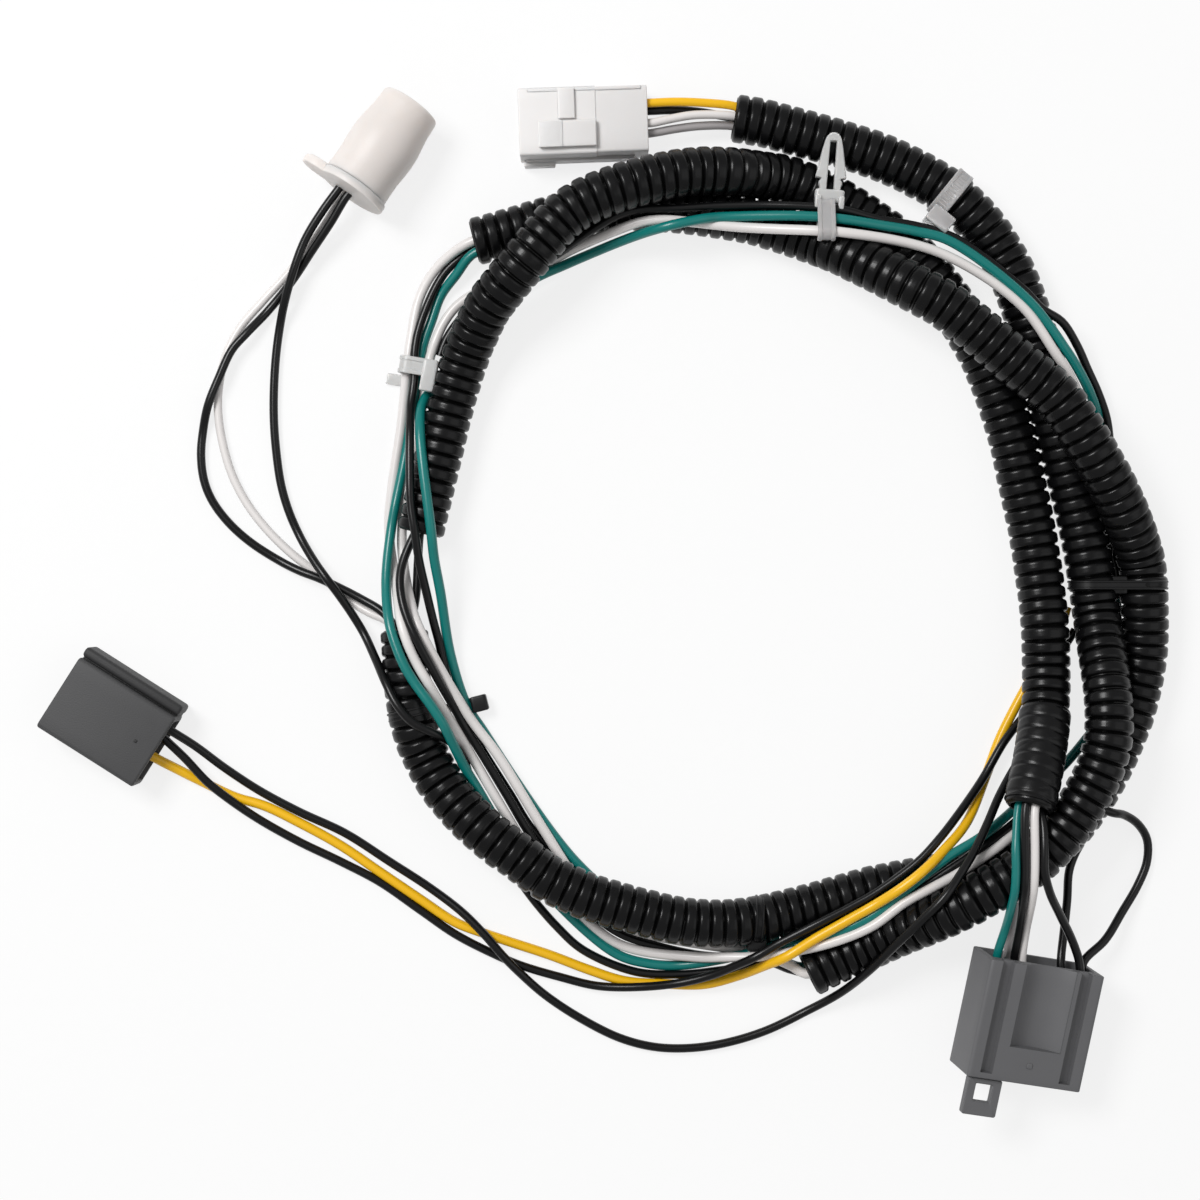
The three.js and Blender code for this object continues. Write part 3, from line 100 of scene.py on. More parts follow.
# %% Route points
ROUTES = {
    "conduit_inner": [
        (36.9, 132.6, 6.5), (44.6, 131.3, 6.5), (52.3, 129.3, 6.5), (64.4, 126, 6.5), (77.1, 121.9, 6.5),
        (87.7, 116.9, 6.9), (96.2, 111.5, 7.7), (105.3, 102.6, 6.9), (109.5, 96.6, 6.5), (113.4, 89.7, 6.5),
        (116.1, 82.8, 6.5), (120.5, 68.8, 6.5), (123.8, 55, 6.5), (127.4, 41.3, 6.5), (131, 27.5, 6.5),
        (133.4, 16.5, 7), (134.9, 6.9, 7.7), (136.2, -2.7, 8), (136.9, -12.3, 11.4), (137.5, -21.7, 15.4),
        (137.8, -29.8, 17.8), (137.3, -37.8, 19), (135.3, -45.1, 19.2), (132.4, -51.3, 19.2),
        (128.3, -58.1, 19.2), (123.7, -64.3, 19.2), (118.9, -69.2, 19.2), (112.9, -73.8, 19.2),
        (105.4, -78.4, 18.8), (97.8, -82.9, 17.6), (89.7, -87, 14.8), (82, -90.7, 11.2), (74.2, -94.8, 7.8),
        (66.6, -98.2, 6.5), (57.2, -102.9, 6.5)],
    "conduit_outer": [
        (-34.7, 98.5, 6.5), (2.8, 107.9, 6.5), (38.5, 105.1, 6.5), (49.5, 102.1, 6.6), (59, 98.6, 8),
        (65.1, 95.7, 11.1), (85.4, 84.1, 18.8), (94.3, 78.9, 19.2), (114.5, 62.4, 19.2),
        (123.5, 54.8, 19.2), (134.2, 38.9, 18.4), (142.6, 24.5, 14.1), (148.6, 10.4, 8), (149.4, 1.9, 7.8),
        (149.7, -12.4, 6.5), (148.9, -19.3, 6.5), (146.1, -31.1, 6.5), (143.4, -38, 6.5),
        (140.4, -44.9, 6.5), (135.4, -53.7, 6.5), (122.5, -68.2, 6.5), (73.5, -80.1, 6.5),
        (59.2, -84.2, 6.5), (51.4, -86.1, 6.9), (44.2, -87.6, 7.9), (36.5, -88.5, 9.2), (28.5, -88.5, 9.9),
        (20.5, -87.5, 10.6), (-3, -81.1, 11.7), (-8.7, -78.7, 11.7), (-15.3, -75.4, 11.7),
        (-21.6, -70.7, 11.7), (-28.1, -66.1, 11.4), (-34.2, -61, 10.4), (-39.5, -55.7, 9), (-44, -50, 7.6),
        (-47.9, -42.9, 6.8), (-50.6, -36, 7.6), (-52.7, -24.7, 7.8), (-53.9, -8.3, 6.5)],
    "conduit_bridge": [
        (-49.5, 18.4, 6.5), (-43.8, 42.4, 6.5), (-41, 53.9, 6.5), (-36.8, 67, 8), (-33.9, 73.6, 10.5),
        (-30.5, 79.8, 13.5), (-26.3, 84.9, 16.4), (-20.5, 91.6, 18.8), (-14.9, 98.3, 19.3),
        (-9.2, 104.3, 19.3), (-2.7, 108.3, 19.3), (4.9, 111.3, 19), (11.6, 113.4, 18.2),
        (20.3, 115.5, 16.8), (27.7, 116.6, 15), (36.8, 116.7, 13), (45.3, 116.3, 8.9), (50.6, 115.8, 7),
        (57, 113.7, 6.5), (63.8, 110.4, 6.5), (71, 106.2, 6.5), (85.3, 95.5, 6.5), (96.9, 81.2, 6.5),
        (101.3, 74.3, 6.5), (104.9, 68, 6.5), (107.3, 62.7, 6.5), (109.8, 56.1, 6.5), (112.3, 48.4, 6.5),
        (114.2, 41.3, 6.5), (115.9, 33, 6.5), (117.5, 25.9, 6.5), (119.2, 17.3, 6.5), (121.4, 0.5, 8),
        (122, -8.2, 9.3), (122.2, -17.8, 9.8), (121.7, -27.3, 12.2), (120.2, -36.6, 16),
        (118.3, -44.5, 19.6), (116.4, -51.1, 22.4), (115, -56, 24.2)],
    "wire_latch_yellow": [
        (11, 136.3, 9), (13.4, 136.3, 9), (20.6, 136.6, 9), (28.8, 136.4, 8.6), (36.5, 135.7, 8),
        (41.2, 134.1, 7.6), (47.3, 132.5, 7.4)],
    "wire_latch_black": [
        (11, 134.5, 7), (13.7, 134.5, 7), (19.8, 134.8, 6.6), (27.6, 134.5, 5.4), (36.7, 133.1, 4.2),
        (42, 132.3, 3.9), (47.5, 130.9, 3.9)],
    "wire_latch_white": [
        (11.2, 130.8, 9), (14, 130.8, 9), (19.2, 131.9, 9), (26, 133, 9), (36.5, 132.8, 8.6),
        (42.5, 131.4, 8.8), (47.2, 130, 9)],
    "wire_latch_grey": [
        (11.5, 128.1, 7), (14.3, 128.4, 7), (20.6, 129.6, 6.6), (27.5, 130.5, 6.2), (36.6, 130.6, 5.6),
        (41.9, 129.2, 5.6), (47.4, 128.1, 5.8)],
    "wire_socket_black_1": [
        (-67.1, 113.2, 9.4), (-69.6, 110.5, 9.2), (-73.9, 103.8, 7.8), (-79.4, 96.2, 5.6),
        (-85.1, 88.2, 3.4), (-92, 80, 2), (-97.8, 73.5, 3.9), (-101.7, 69.1, 3.9), (-105.2, 61.6, 3.9),
        (-108.3, 53.9, 3.6), (-110, 47.1, 1.5), (-110.6, 40.2, 1.4), (-109.8, 33.3, 1.4),
        (-107.6, 27.7, 1.4), (-103.1, 21.6, 1.4), (-97, 16.1, 1.4), (-88.7, 10.8, 1.6), (-83, 8, 3),
        (-77.9, 6.1, 3.9), (-71.8, 3.3, 4), (-65.4, 0, 4.6), (-60.3, -3, 6), (-56.9, -6.6, 7.2),
        (-54.9, -11, 7.8), (-54.4, -17.9, 7.8)],
    "wire_socket_white": [
        (-69, 112.5, 7), (-71.3, 110.1, 6.6), (-76.7, 102.4, 4.6), (-81.6, 96.3, 2.8), (-86.8, 90.1, 1.4),
        (-93.7, 82.6, 1.4), (-99.8, 75.4, 1.4), (-103.7, 67.9, 1.4), (-105.6, 59.6, 1.4),
        (-105.9, 52.7, 1.4), (-104.8, 44.4, 1.4), (-102, 34.7, 1.4), (-97.6, 26.3, 1.4), (-91.5, 18.6, 1.4),
        (-85.1, 12.5, 1.4), (-79, 7.8, 1.4), (-73.5, 3.3, 1.4), (-68.7, -0.6, 1.6), (-63.6, -3.6, 3),
        (-58.7, -5.8, 5), (-56.2, -9.4, 5.4), (-55.4, -13.8, 5), (-54.9, -19.3, 5)],
    "wire_socket_black_2": [
        (-70.2, 114.6, 9.4), (-76.3, 106.5, 8.6), (-81.1, 98.9, 7.4), (-84.5, 90.3, 6.4),
        (-86.9, 82.8, 4.6), (-88.6, 76.2, 2), (-89.8, 67.9, 1.4), (-90.4, 58.2, 1.4), (-90.4, 49.9, 1.4),
        (-89.8, 41.6, 1.4), (-88.4, 31.9, 1.4), (-86.2, 24.4, 1.4), (-83.1, 17.5, 1.8), (-78.9, 10.8, 4.8),
        (-75.4, 6.1, 6.7), (-72.1, 1.7, 6.4), (-68.4, -3.9, 4.6), (-65.1, -9.4, 4.4), (-61.8, -15.9, 7.6),
        (-58.3, -22.9, 12.9), (-55.2, -28.5, 15), (-51.1, -33.2, 15.2), (-45.4, -36.2, 14.3),
        (-40.6, -39.2, 9), (-37.5, -44.1, 4.7), (-35.5, -51.2, 2), (-32.7, -57.7, 1.4), (-28.6, -67.1, 1.4),
        (-24.4, -74.3, 1.4), (-19.4, -81.8, 1.4), (-11.6, -90.9, 1.4), (-4.7, -97, 1.4), (9.7, -103, 1.4),
        (22.2, -103.8, 1.4), (31.9, -102.8, 1.8), (40.1, -101.6, 2.4), (47.1, -100.4, 2.4),
        (52.4, -101.8, 5.6), (58.3, -102.6, 6.6), (67.7, -98.6, 6.6)],
    "wire_plug_black_1": [
        (-119.8, -34.5, 9), (-117.2, -36.2, 8.6), (-111.5, -40.2, 6), (-103.7, -46.5, 3),
        (-94.3, -52.9, 1.4), (-83.2, -58.8, 1.4), (-70.7, -64.6, 1.4), (-58.2, -72.6, 1.4),
        (-47.1, -79.8, 1.4), (-38.2, -86.3, 3), (-31.8, -92.5, 4.2), (-27, -98, 4.6), (-22.1, -103.2, 3),
        (-15.2, -109.5, 1.4), (-5.5, -115.9, 1.4), (5.5, -121.4, 1.4), (15.2, -123.9, 1.4),
        (24.9, -124.2, 1.4), (34.7, -122.8, 1.4), (45.7, -119.5, 1.4), (56.8, -114.2, 1.4),
        (66.2, -108.3, 5.4), (73.6, -100.9, 12.8), (79.8, -93.6, 18), (86.1, -86.7, 21.6),
        (92.6, -79.7, 23.4), (97.5, -73.3, 21), (101.4, -67.6, 18.5), (105.4, -60.3, 15.6),
        (108.8, -53.7, 12.6), (113, -47.2, 9), (117.3, -41.3, 6)],
    "wire_plug_black_2": [
        (-121.7, -36.4, 6), (-119.3, -38.9, 5.6), (-114.5, -43.6, 5), (-108.4, -50.2, 4.6),
        (-102.2, -55.2, 4), (-94.2, -60.9, 2), (-83.2, -67.1, 1.4), (-72.1, -72.4, 1.4), (-61, -78.2, 1.4),
        (-49.9, -85.9, 1.4), (-40.2, -92.6, 1.4), (-30.5, -97.6, 1.6), (-22.2, -101.2, 1.4),
        (-11.1, -104.5, 1.4), (-0.6, -106.9, 2), (11.1, -106.9, 3.8), (22.1, -105.7, 4.4),
        (30.8, -103.2, 6.8), (37, -100.2, 10), (42.3, -97.4, 12.8), (49.1, -93.5, 12.8), (58.5, -88.5, 14),
        (68.1, -83.6, 14), (74.9, -79.8, 14), (81.7, -75.1, 14), (87.1, -70.8, 14), (92.7, -64.9, 13),
        (98.6, -58, 10), (105.6, -49.1, 5.4), (111.6, -39.2, 3.9), (117.8, -31.6, 1.6), (122, -24.9, 1.4),
        (125.9, -17.7, 1.4), (129.2, -12.2, 1.4), (131.7, -8.3, 1.4)],
    "wire_plug_yellow": [
        (-126.7, -40.8, 6), (-123.5, -43, 5.4), (-117.5, -46.5, 3), (-109.5, -50.7, 1.4),
        (-101.2, -54.6, 1.4), (-92.9, -57.1, 1.4), (-83.2, -61.8, 1.4), (-72.1, -67.9, 1.4),
        (-61, -75.4, 1.4), (-49.9, -82.9, 1.4), (-40.2, -89.3, 1.4), (-33.3, -92, 1.4), (-24.9, -94.8, 1.4),
        (-13.9, -98.4, 1.4), (-2.8, -102.6, 1.4), (6.9, -105.6, 1.4), (18, -106.4, 1.6),
        (29.1, -106.3, 2.6), (38.6, -103.5, 4.6), (45.2, -100.1, 9.9), (50.4, -97.3, 14),
        (58.5, -92.2, 14.4), (66.6, -87.5, 15), (74.7, -82.8, 15.7), (81.2, -78.2, 18.3),
        (87.1, -73.6, 18.4), (93.6, -68, 14.6), (100.6, -60.9, 9), (106.9, -48.7, 2), (110.9, -38.3, 1.4),
        (116.2, -27.7, 1.4), (120.9, -19.4, 1.4), (125, -11.9, 1.4), (128, -6.1, 1.8), (129.4, -1.9, 1.8)],
    "wire_trunk_green_1": [
        (-24.8, 98.5, 6.3), (-35, 95.4, 5.4), (-39.8, 89.8, 3.4), (-44.1, 84.3, 1.6), (-46.6, 77.6, 1.4),
        (-49, 70.6, 2), (-50.2, 64.5, 2.4), (-51.2, 58.2, 2), (-53.9, 40.2, 1.4), (-56.4, 26.8, 3.8),
        (-57.7, 19.3, 4), (-58.8, 5.5, 7.2), (-57.5, -6, 12.8), (-56.1, -10.9, 14), (-53.3, -17.7, 15),
        (-50, -23.1, 15.2), (-46.2, -28.2, 15.8), (-42.7, -33.7, 15), (-39.9, -39.9, 11.6),
        (-37.1, -46.1, 7.8), (-33.9, -51.8, 5.2), (-26.2, -64.9, 3.8), (-18.8, -75.1, 3.8),
        (-11.1, -84.8, 1.6), (4.2, -97.9, 1.4), (12.5, -100.6, 1.4), (22.2, -101.2, 1.6),
        (39.9, -97.4, 6.9), (48, -95, 8.2), (54.8, -94.3, 10.1), (68.6, -88.8, 13.8), (74, -86, 14),
        (81, -80.5, 15), (85.5, -76.8, 15.7), (90.2, -73.1, 15.5), (95.2, -69.6, 14.6), (103.9, -64.6, 13),
        (118.5, -54.5, 2.4), (128.1, -46.3, 1.4), (138.6, -33.8, 1.4)],
    "wire_trunk_white_1": [
        (-26.1, 101.1, 7.6), (-31.6, 99.8, 7.4), (-36.3, 98.2, 6.6), (-41.4, 95.2, 4.4), (-46.5, 90.2, 2.4),
        (-50.2, 83.2, 1.4), (-52.3, 72.6, 2), (-53.4, 64.5, 2.4), (-54, 58.2, 1.8), (-54.6, 52.7, 1.4),
        (-55.4, 45.7, 1.4), (-56.6, 38.3, 1.4), (-57.7, 30.5, 1.4), (-58.5, 22.2, 1.4), (-58.2, 15.2, 1.4),
        (-57.3, 9.7, 3), (-56.2, 4.1, 6), (-55.3, -0.5, 9.6), (-54.2, -6, 13.5), (-52.5, -11.4, 14.5),
        (-50.1, -16.9, 13.9), (-47.1, -22.3, 13.3), (-43.8, -28.5, 9.6), (-40, -35.3, 5),
        (-22.4, -65.2, 3.8), (-15.2, -76.3, 3.8), (-8.3, -84.2, 1.8), (5.5, -95.5, 1.4), (26.2, -98.5, 4.6),
        (34.3, -98.1, 7.8), (41.1, -97.8, 9.9), (47.9, -97, 10.6), (62.7, -93.5, 13.2), (74, -88.7, 14.7),
        (82.8, -82.1, 15.9), (89.6, -78.4, 16), (95.1, -75.6, 15.1), (109.1, -67.1, 12.4),
        (118.7, -60.7, 4.4), (123.5, -56.8, 2)],
    "wire_trunk_black_1": [
        (-25.4, 100.5, 4.2), (-31.5, 99.1, 4.2), (-40.9, 92.7, 2.8), (-44.8, 87.7, 2.8), (-49.7, 76, 3.8),
        (-51.1, 69, 4.5), (-51.3, 60.7, 4.6), (-52.1, 53.7, 6), (-52, 46.5, 10.4), (-51.8, 32.7, 13.2),
        (-51.5, 25.9, 13.6), (-50.4, 18.5, 13.8), (-49.4, 10.9, 12), (-47.6, 2.2, 9.4), (-45.9, -5.5, 7.4),
        (-44.4, -11.6, 5.6), (-43.3, -17.1, 4.4), (-42, -22.7, 3), (-39.9, -28.8, 2.7), (-35.6, -36.6, 1.4),
        (-30.9, -44.4, 1.4), (-24.6, -54.3, 1.4), (-19.4, -62.7, 1.4), (-9.4, -73.2, 1.6),
        (-4.7, -76.6, 3.5), (0, -79, 3.9), (11.1, -84, 3.8), (18.8, -87.2, 2.4), (27.7, -90.6, 2.1),
        (37.4, -93.4, 2.3), (44.3, -94.6, 2.9), (52.3, -94.2, 6.2), (57.5, -91.6, 9.7), (62.8, -89, 11.7),
        (73.8, -86.9, 11.5), (83.1, -81.2, 13.3), (89.8, -76.8, 14.1), (103.9, -67.6, 13),
        (118.6, -58.1, 3.2), (123.4, -53.8, 1.6)],
    "wire_trunk_white_2": [
        (136.3, 42, 3.2), (132.6, 53.6, 6.8), (128.7, 60.7, 11.4), (124.1, 67, 14), (114.3, 80.6, 14),
        (92.6, 94.5, 14), (64.8, 99.4, 19.5), (58.1, 99.9, 18.7), (38.1, 101.5, 14), (16.9, 103.5, 13.8),
        (10.9, 103, 13), (4.1, 100.9, 11), (-6.9, 97.2, 4), (-12.2, 94.8, 1.5), (-27.7, 88.4, 1.5),
        (-38.8, 82.3, 1.5), (-43, 77.3, 1.5), (-45.7, 71.5, 1.5), (-47.3, 65.9, 2.6), (-48.3, 59, 2),
        (-54.1, 27.7, 1.5), (-54.9, 18.6, 1.5), (-54.5, 11.1, 2.4), (-51.4, -2.5, 10.2),
        (-48.9, -8.7, 12.4), (-42.8, -20.6, 9), (-39.2, -27, 6.6), (-35.1, -33.7, 4.6), (-28.3, -42.8, 3.8),
        (-15.2, -64.1, 3.8), (-4.7, -80, 4.5), (1.9, -87.2, 1.6), (8.3, -91.1, 1.5), (16.6, -93.4, 1.5),
        (33.1, -95.7, 4.8), (40, -96.6, 4.5), (46.8, -98.3, 6), (52.2, -100.3, 7.6), (57.1, -102.6, 8.8),
        (66.4, -97.9, 8.8)],
    "wire_trunk_green_2": [
        (142.5, -11.1, 1.4), (143, -1.4, 2.5), (142, 6.9, 2.4), (138.8, 41.6, 1.6), (137.8, 49.7, 4),
        (135, 56.4, 6.9), (131.2, 62.7, 10), (127.2, 68.2, 12.4), (116.5, 81.6, 14.2), (95.3, 97.7, 14),
        (85.7, 100.4, 14), (76, 101.8, 15.6), (65, 103.2, 17.7), (54.2, 104.1, 17), (32.7, 104.2, 14.3),
        (27.7, 103.4, 16.2), (18.4, 101.4, 16.6), (8.2, 99.2, 9.6), (-11.1, 92.3, 1.4), (-19.4, 88.4, 1.4),
        (-34.9, 77.6, 1.4), (-42, 66, 1.4), (-43.9, 61.5, 1.4), (-47, 57.5, 3.3), (-48.8, 54.3, 5.6),
        (-49.2, 46.2, 11.4), (-46, 19.1, 14.2), (-45.3, 11.5, 12), (-43.8, 2.2, 8.6), (-41.3, -15.2, 3.4),
        (-36.9, -29.1, 2.4), (-32.9, -35.5, 1.4), (-6.7, -72.6, 1.4), (11.1, -86.8, 1.4),
        (31.9, -94.5, 1.5), (40.1, -96.4, 2.7), (47.1, -98.5, 2.4), (52.5, -100.6, 3.6), (56.3, -101.2, 5),
        (65.6, -96.5, 5)],
    "wire_trunk_black_2": [
        (-46.7, 28.8, 8.2), (-48.8, 21.9, 8.6), (-51.6, 16.5, 8.6), (-54, 10.4, 9.6), (-54.7, 5.5, 11.2),
        (-54, 0, 13), (-52.3, -5.4, 14.2), (-49.5, -11.4, 14.8), (-46.3, -17.7, 13), (-43.5, -23.3, 10.4),
        (-40.7, -28.6, 7), (-37, -35.6, 4), (-32.3, -43.1, 3.8), (-25.8, -53.9, 3.8), (-20.2, -63.5, 3.8),
        (-13.8, -72.9, 3.8), (-6.6, -81.9, 3), (0.1, -88.8, 1.4), (6.9, -93.1, 1.4), (16.6, -96.1, 1.4),
        (27.7, -98.4, 1.6), (40.1, -99.1, 2.7), (47.1, -99.6, 2.4), (52.5, -101.2, 3.2), (57.6, -102.4, 4),
        (67, -99, 4)],
    "wire_trunk_black_3": [
        (-48, 27.6, 4.6), (-49.7, 18.5, 4.6), (-50.2, 11, 4.8), (-50.7, 1.4, 5.2), (-52.3, -8.8, 6),
        (-51.8, -17.9, 6)],
    "wire_trunk_black_4": [
        (142.5, 1.1, 4.8), (142.4, 6.9, 4.7), (140.5, 16.6, 4.2), (140.3, 26.2, 3.9), (140.9, 33.1, 3.9),
        (140.9, 41.4, 4), (139.9, 49.7, 4.6), (137.7, 56.6, 4.6), (134.4, 63.4, 5.8), (131, 70, 7.8),
        (126.4, 76.1, 10.6), (120.7, 79.6, 11.8), (116.2, 84.1, 12.8), (109.9, 89.5, 12.8),
        (104.2, 93.9, 12.8), (96, 99.1, 12.8), (87.1, 101.8, 12.8), (75.5, 103.8, 13.8), (65.1, 106, 16.9),
        (54.3, 106.9, 16.2), (43.5, 107.4, 14.6), (32.7, 107.3, 14), (21.8, 106.7, 14), (10.9, 106.4, 14),
        (4.9, 104.8, 14), (0, 102.2, 13), (-5.5, 99.1, 9.8), (-10.5, 96.1, 6), (-15.2, 93.4, 3.9),
        (-22.1, 89.2, 3.9), (-28.7, 85.1, 3.6), (-35.5, 81.2, 1.8), (-39.4, 77.1, 1.4), (-42.7, 72.1, 1.4),
        (-44.4, 67.6, 1.4)],
    "wire_body_green": [
        (107.6, -98.9, 15), (108, -95.5, 16), (109.6, -89.3, 18), (110.5, -81.8, 24), (110.9, -77.2, 26.8),
        (111.1, -72.1, 27.2), (111.1, -66.2, 26.9), (111.6, -61, 25.4), (112.1, -56.6, 24.4),
        (113.5, -51.1, 22.5), (115.3, -44.5, 19.7)],
    "wire_body_black_1": [
        (112.7, -99.6, 14), (112.8, -96.2, 15), (113.5, -89.4, 17.6), (113.5, -81.9, 23.6),
        (113.5, -76.9, 26.8), (113.6, -71.5, 27.4), (113.4, -65.6, 27.6), (113.4, -60.3, 27.6),
        (113.6, -56.1, 27.2), (114.8, -50.9, 25.5), (116.6, -44.3, 22.7)],
    "wire_body_white": [
        (115, -100, 13.5), (114.9, -96.9, 14), (115.6, -89.6, 16), (115.9, -82, 22.6), (116, -77, 26.2),
        (116.1, -71.5, 27.3), (116.1, -65.7, 27.4), (116, -60.3, 27.2), (116.2, -56.1, 26.6),
        (117.6, -50.9, 24.8), (119.5, -44.4, 22)],
    "wire_body_grey": [
        (109.6, -106.6, 11), (110.7, -101.2, 11), (111.4, -96.9, 10.5), (113.2, -90.9, 6),
        (115, -85.3, 1.8), (115.6, -81.5, 1.4), (116.3, -77.5, 1.4)],
    "wire_body_black_2": [
        (130.9, -101.1, 13), (130.5, -98.1, 13.2), (128.3, -92.4, 15), (124.2, -85, 19.6),
        (120.6, -78.5, 24.6), (118.8, -72.6, 27), (118.7, -66.7, 27.2), (118.7, -61, 25.8),
        (118.3, -56.1, 23.8), (119.7, -51.1, 22), (121.6, -44.6, 19.2)],
    "wire_body_black_3": [
        (126.4, -101.5, 9), (126.5, -98.2, 8.6), (127.8, -90.9, 6), (129.1, -82.9, 3.6), (130, -75.4, 1.4),
        (131.4, -71, 1.4), (133.3, -67.4, 1.4)],
    "wire_body_black_4": [
        (131.8, -102, 9), (132.9, -98.7, 9), (138.9, -93.5, 7), (144.2, -86.2, 4), (149, -78.9, 2),
        (151.6, -72.6, 1.4), (151.6, -66.5, 1.8), (148.6, -61.9, 4), (144.1, -59.1, 7), (140.5, -58.3, 10),
        (136.5, -57, 10.5)],
}
print("routes:", len(ROUTES))

# %% [markdown]
# ## Lines and tubes
# A wire is a circle carried along a line. The line here is a centripetal Catmull-Rom curve, which passes
# through every point without overshooting where points lie close together. Blender's own bevelled curves
# could draw it, but a mesh grid keeps texture coordinates in real lengths and lets a radius change along it.

# %% Smooth lines
MILLIMETRE = 0.001


def along(points):
    """Running length at each point: the sum of the straight distances from point to point so far."""
    return np.concatenate([[0.0], np.cumsum(np.linalg.norm(np.diff(points, axis=0), axis=1))])


def smooth_line(stops, step):
    """Centripetal Catmull-Rom curve through the stops, sampled evenly.

    The knot gap between two stops is the square root of their distance. The slope at a stop is the sum of
    the chord slopes on its two sides less the slope of the chord that skips it. Between two stops the place
    is the cubic Hermite blend of both ends and both slopes. The samples are then read off at equal running
    lengths.
    """
    stops = np.asarray(stops, dtype=float)
    padded = np.vstack([2 * stops[0] - stops[1], stops, 2 * stops[-1] - stops[-2]])
    gap = np.sqrt(np.linalg.norm(np.diff(padded, axis=0), axis=1))[:, None]
    before, here, after = gap[:-2], gap[1:-1], gap[2:]
    p0, p1, p2, p3 = padded[:-3], padded[1:-2], padded[2:-1], padded[3:]
    slope_1 = here * ((p1 - p0) / before - (p2 - p0) / (before + here) + (p2 - p1) / here)
    slope_2 = here * ((p2 - p1) / here - (p3 - p1) / (here + after) + (p3 - p2) / after)
    t = np.linspace(0, 1, 24, endpoint=False)[None, :, None]
    blend = (
        (2 * t**3 - 3 * t**2 + 1) * p1[:, None]
        + (t**3 - 2 * t**2 + t) * slope_1[:, None]
        + (3 * t**2 - 2 * t**3) * p2[:, None]
        + (t**3 - t**2) * slope_2[:, None]
    )
    dense = np.vstack([blend.reshape(-1, 3), stops[-1]])
    run = along(dense)
    count = max(int(round(run[-1] / step)), 4) + 1
    wanted = np.linspace(0, run[-1], count)
    return np.stack([np.interp(wanted, run, dense[:, axis]) for axis in range(3)], axis=1)


def read_line(points, lengths):
    """Places at the given running lengths of a sampled line, each coordinate interpolated on its own."""
    run = along(points)
    return np.stack([np.interp(lengths, run, points[:, axis]) for axis in range(3)], axis=1)


def cross_frame(points):
    """Sideways and upward directions at each point of a line.

    The forward direction is the gradient of the places. Sideways is forward crossed with the vertical, and
    upward is sideways crossed with forward, so the tube never twists while its line stays near level.
    """
    forward = np.gradient(points, axis=0)
    forward /= np.linalg.norm(forward, axis=1, keepdims=True)
    side = np.cross(forward, [0.0, 0.0, 1.0])
    side /= np.linalg.norm(side, axis=1, keepdims=True)
    return side, np.cross(side, forward)


def around(count):
    """Angles spaced evenly round a full turn."""
    return np.arange(count) * 2 * math.pi / count


def rings(points, directions, radius, angles):
    """Grid of a tube: each place is the line's point plus radius times (cos angle sideways + sin angle up).

    Directions are the sideways and upward ones. The radius is one number, one number for each ring, or one
    number for each ring and angle.
    """
    side, up = directions
    if np.ndim(radius) < 2:
        radius = np.reshape(radius, (-1, 1))
    ring = np.cos(angles)[None, :, None] * side[:, None] + np.sin(angles)[None, :, None] * up[:, None]
    return points[:, None] + radius[..., None] * ring


def tube(points, radius, angles):
    """Grid of a tube whose rings stand square to its own line."""
    return rings(points, cross_frame(points), radius, angles)


# %% [markdown]
# ## From a grid of places to a mesh
# Every surface here is a grid of places with two directions. Faces join each place to its neighbours, and a
# direction that closes on itself, such as the way round a tube, also joins its last row to its first. Edges
# that turn sharply stay crisp and the rest is shaded smooth.

# %% Meshes from grids
BODY = "root"
SHARP_ANGLE = math.radians(38)


def grid_faces(rows, columns, close_rows=False, close_columns=True):
    """Four corner numbers for each face: place (i, j), its right neighbour, the one above that, and above."""
    i = np.arange(rows if close_rows else rows - 1)[:, None]
    j = np.arange(columns if close_columns else columns - 1)[None, :]
    i2, j2 = (i + 1) % rows, (j + 1) % columns
    corners = np.stack([i * columns + j, i * columns + j2, i2 * columns + j2, i2 * columns + j], axis=-1)
    return corners.reshape(-1, 4)


def surface(grid, close_rows=False, close_columns=True, caps=False, uv=None, rise=1.0):
    """One sheet of a piece: its places, its faces, its texture coordinates and its height attribute.

    Caps close the two open ends of a tube with one face each. Texture coordinates are the running length in
    metres and the share of the way round, and rise is a number from 0 to 1 for each place or for all.
    """
    rows, columns = grid.shape[:2]
    if uv is None:
        length = along(grid.mean(axis=1)) * MILLIMETRE
        uv = np.stack(np.meshgrid(length, np.arange(columns) / columns, indexing="ij"), axis=-1)
    faces = grid_faces(rows, columns, close_rows, close_columns).tolist()
    if caps:
        faces.append(list(range(columns))[::-1])
        faces.append(list(range((rows - 1) * columns, rows * columns)))
    return grid.reshape(-1, 3), faces, uv.reshape(-1, 2), np.broadcast_to(rise, (rows, columns)).reshape(-1)


def end_rings(inside, outside):
    """Flat rings that join the two ends of an inner tube to those of the outer one."""
    return [surface(np.stack([inside[0], outside[0]])), surface(np.stack([outside[-1], inside[-1]]))]


def stand(points, place):
    """Turn local places into the harness frame: roll about Y, pitch about X, yaw about Z, then shift."""
    yaw, pitch, roll = (math.radians(place.get(key, 0.0)) for key in ("yaw", "pitch", "roll"))
    turn_z = [[math.cos(yaw), -math.sin(yaw), 0], [math.sin(yaw), math.cos(yaw), 0], [0, 0, 1]]
    turn_x = [[1, 0, 0], [0, math.cos(pitch), -math.sin(pitch)], [0, math.sin(pitch), math.cos(pitch)]]
    turn_y = [[math.cos(roll), 0, math.sin(roll)], [0, 1, 0], [-math.sin(roll), 0, math.cos(roll)]]
    turn = np.array(turn_z) @ np.array(turn_x) @ np.array(turn_y)
    return points @ turn.T + np.array([place["x"], place["y"], place["z"]])


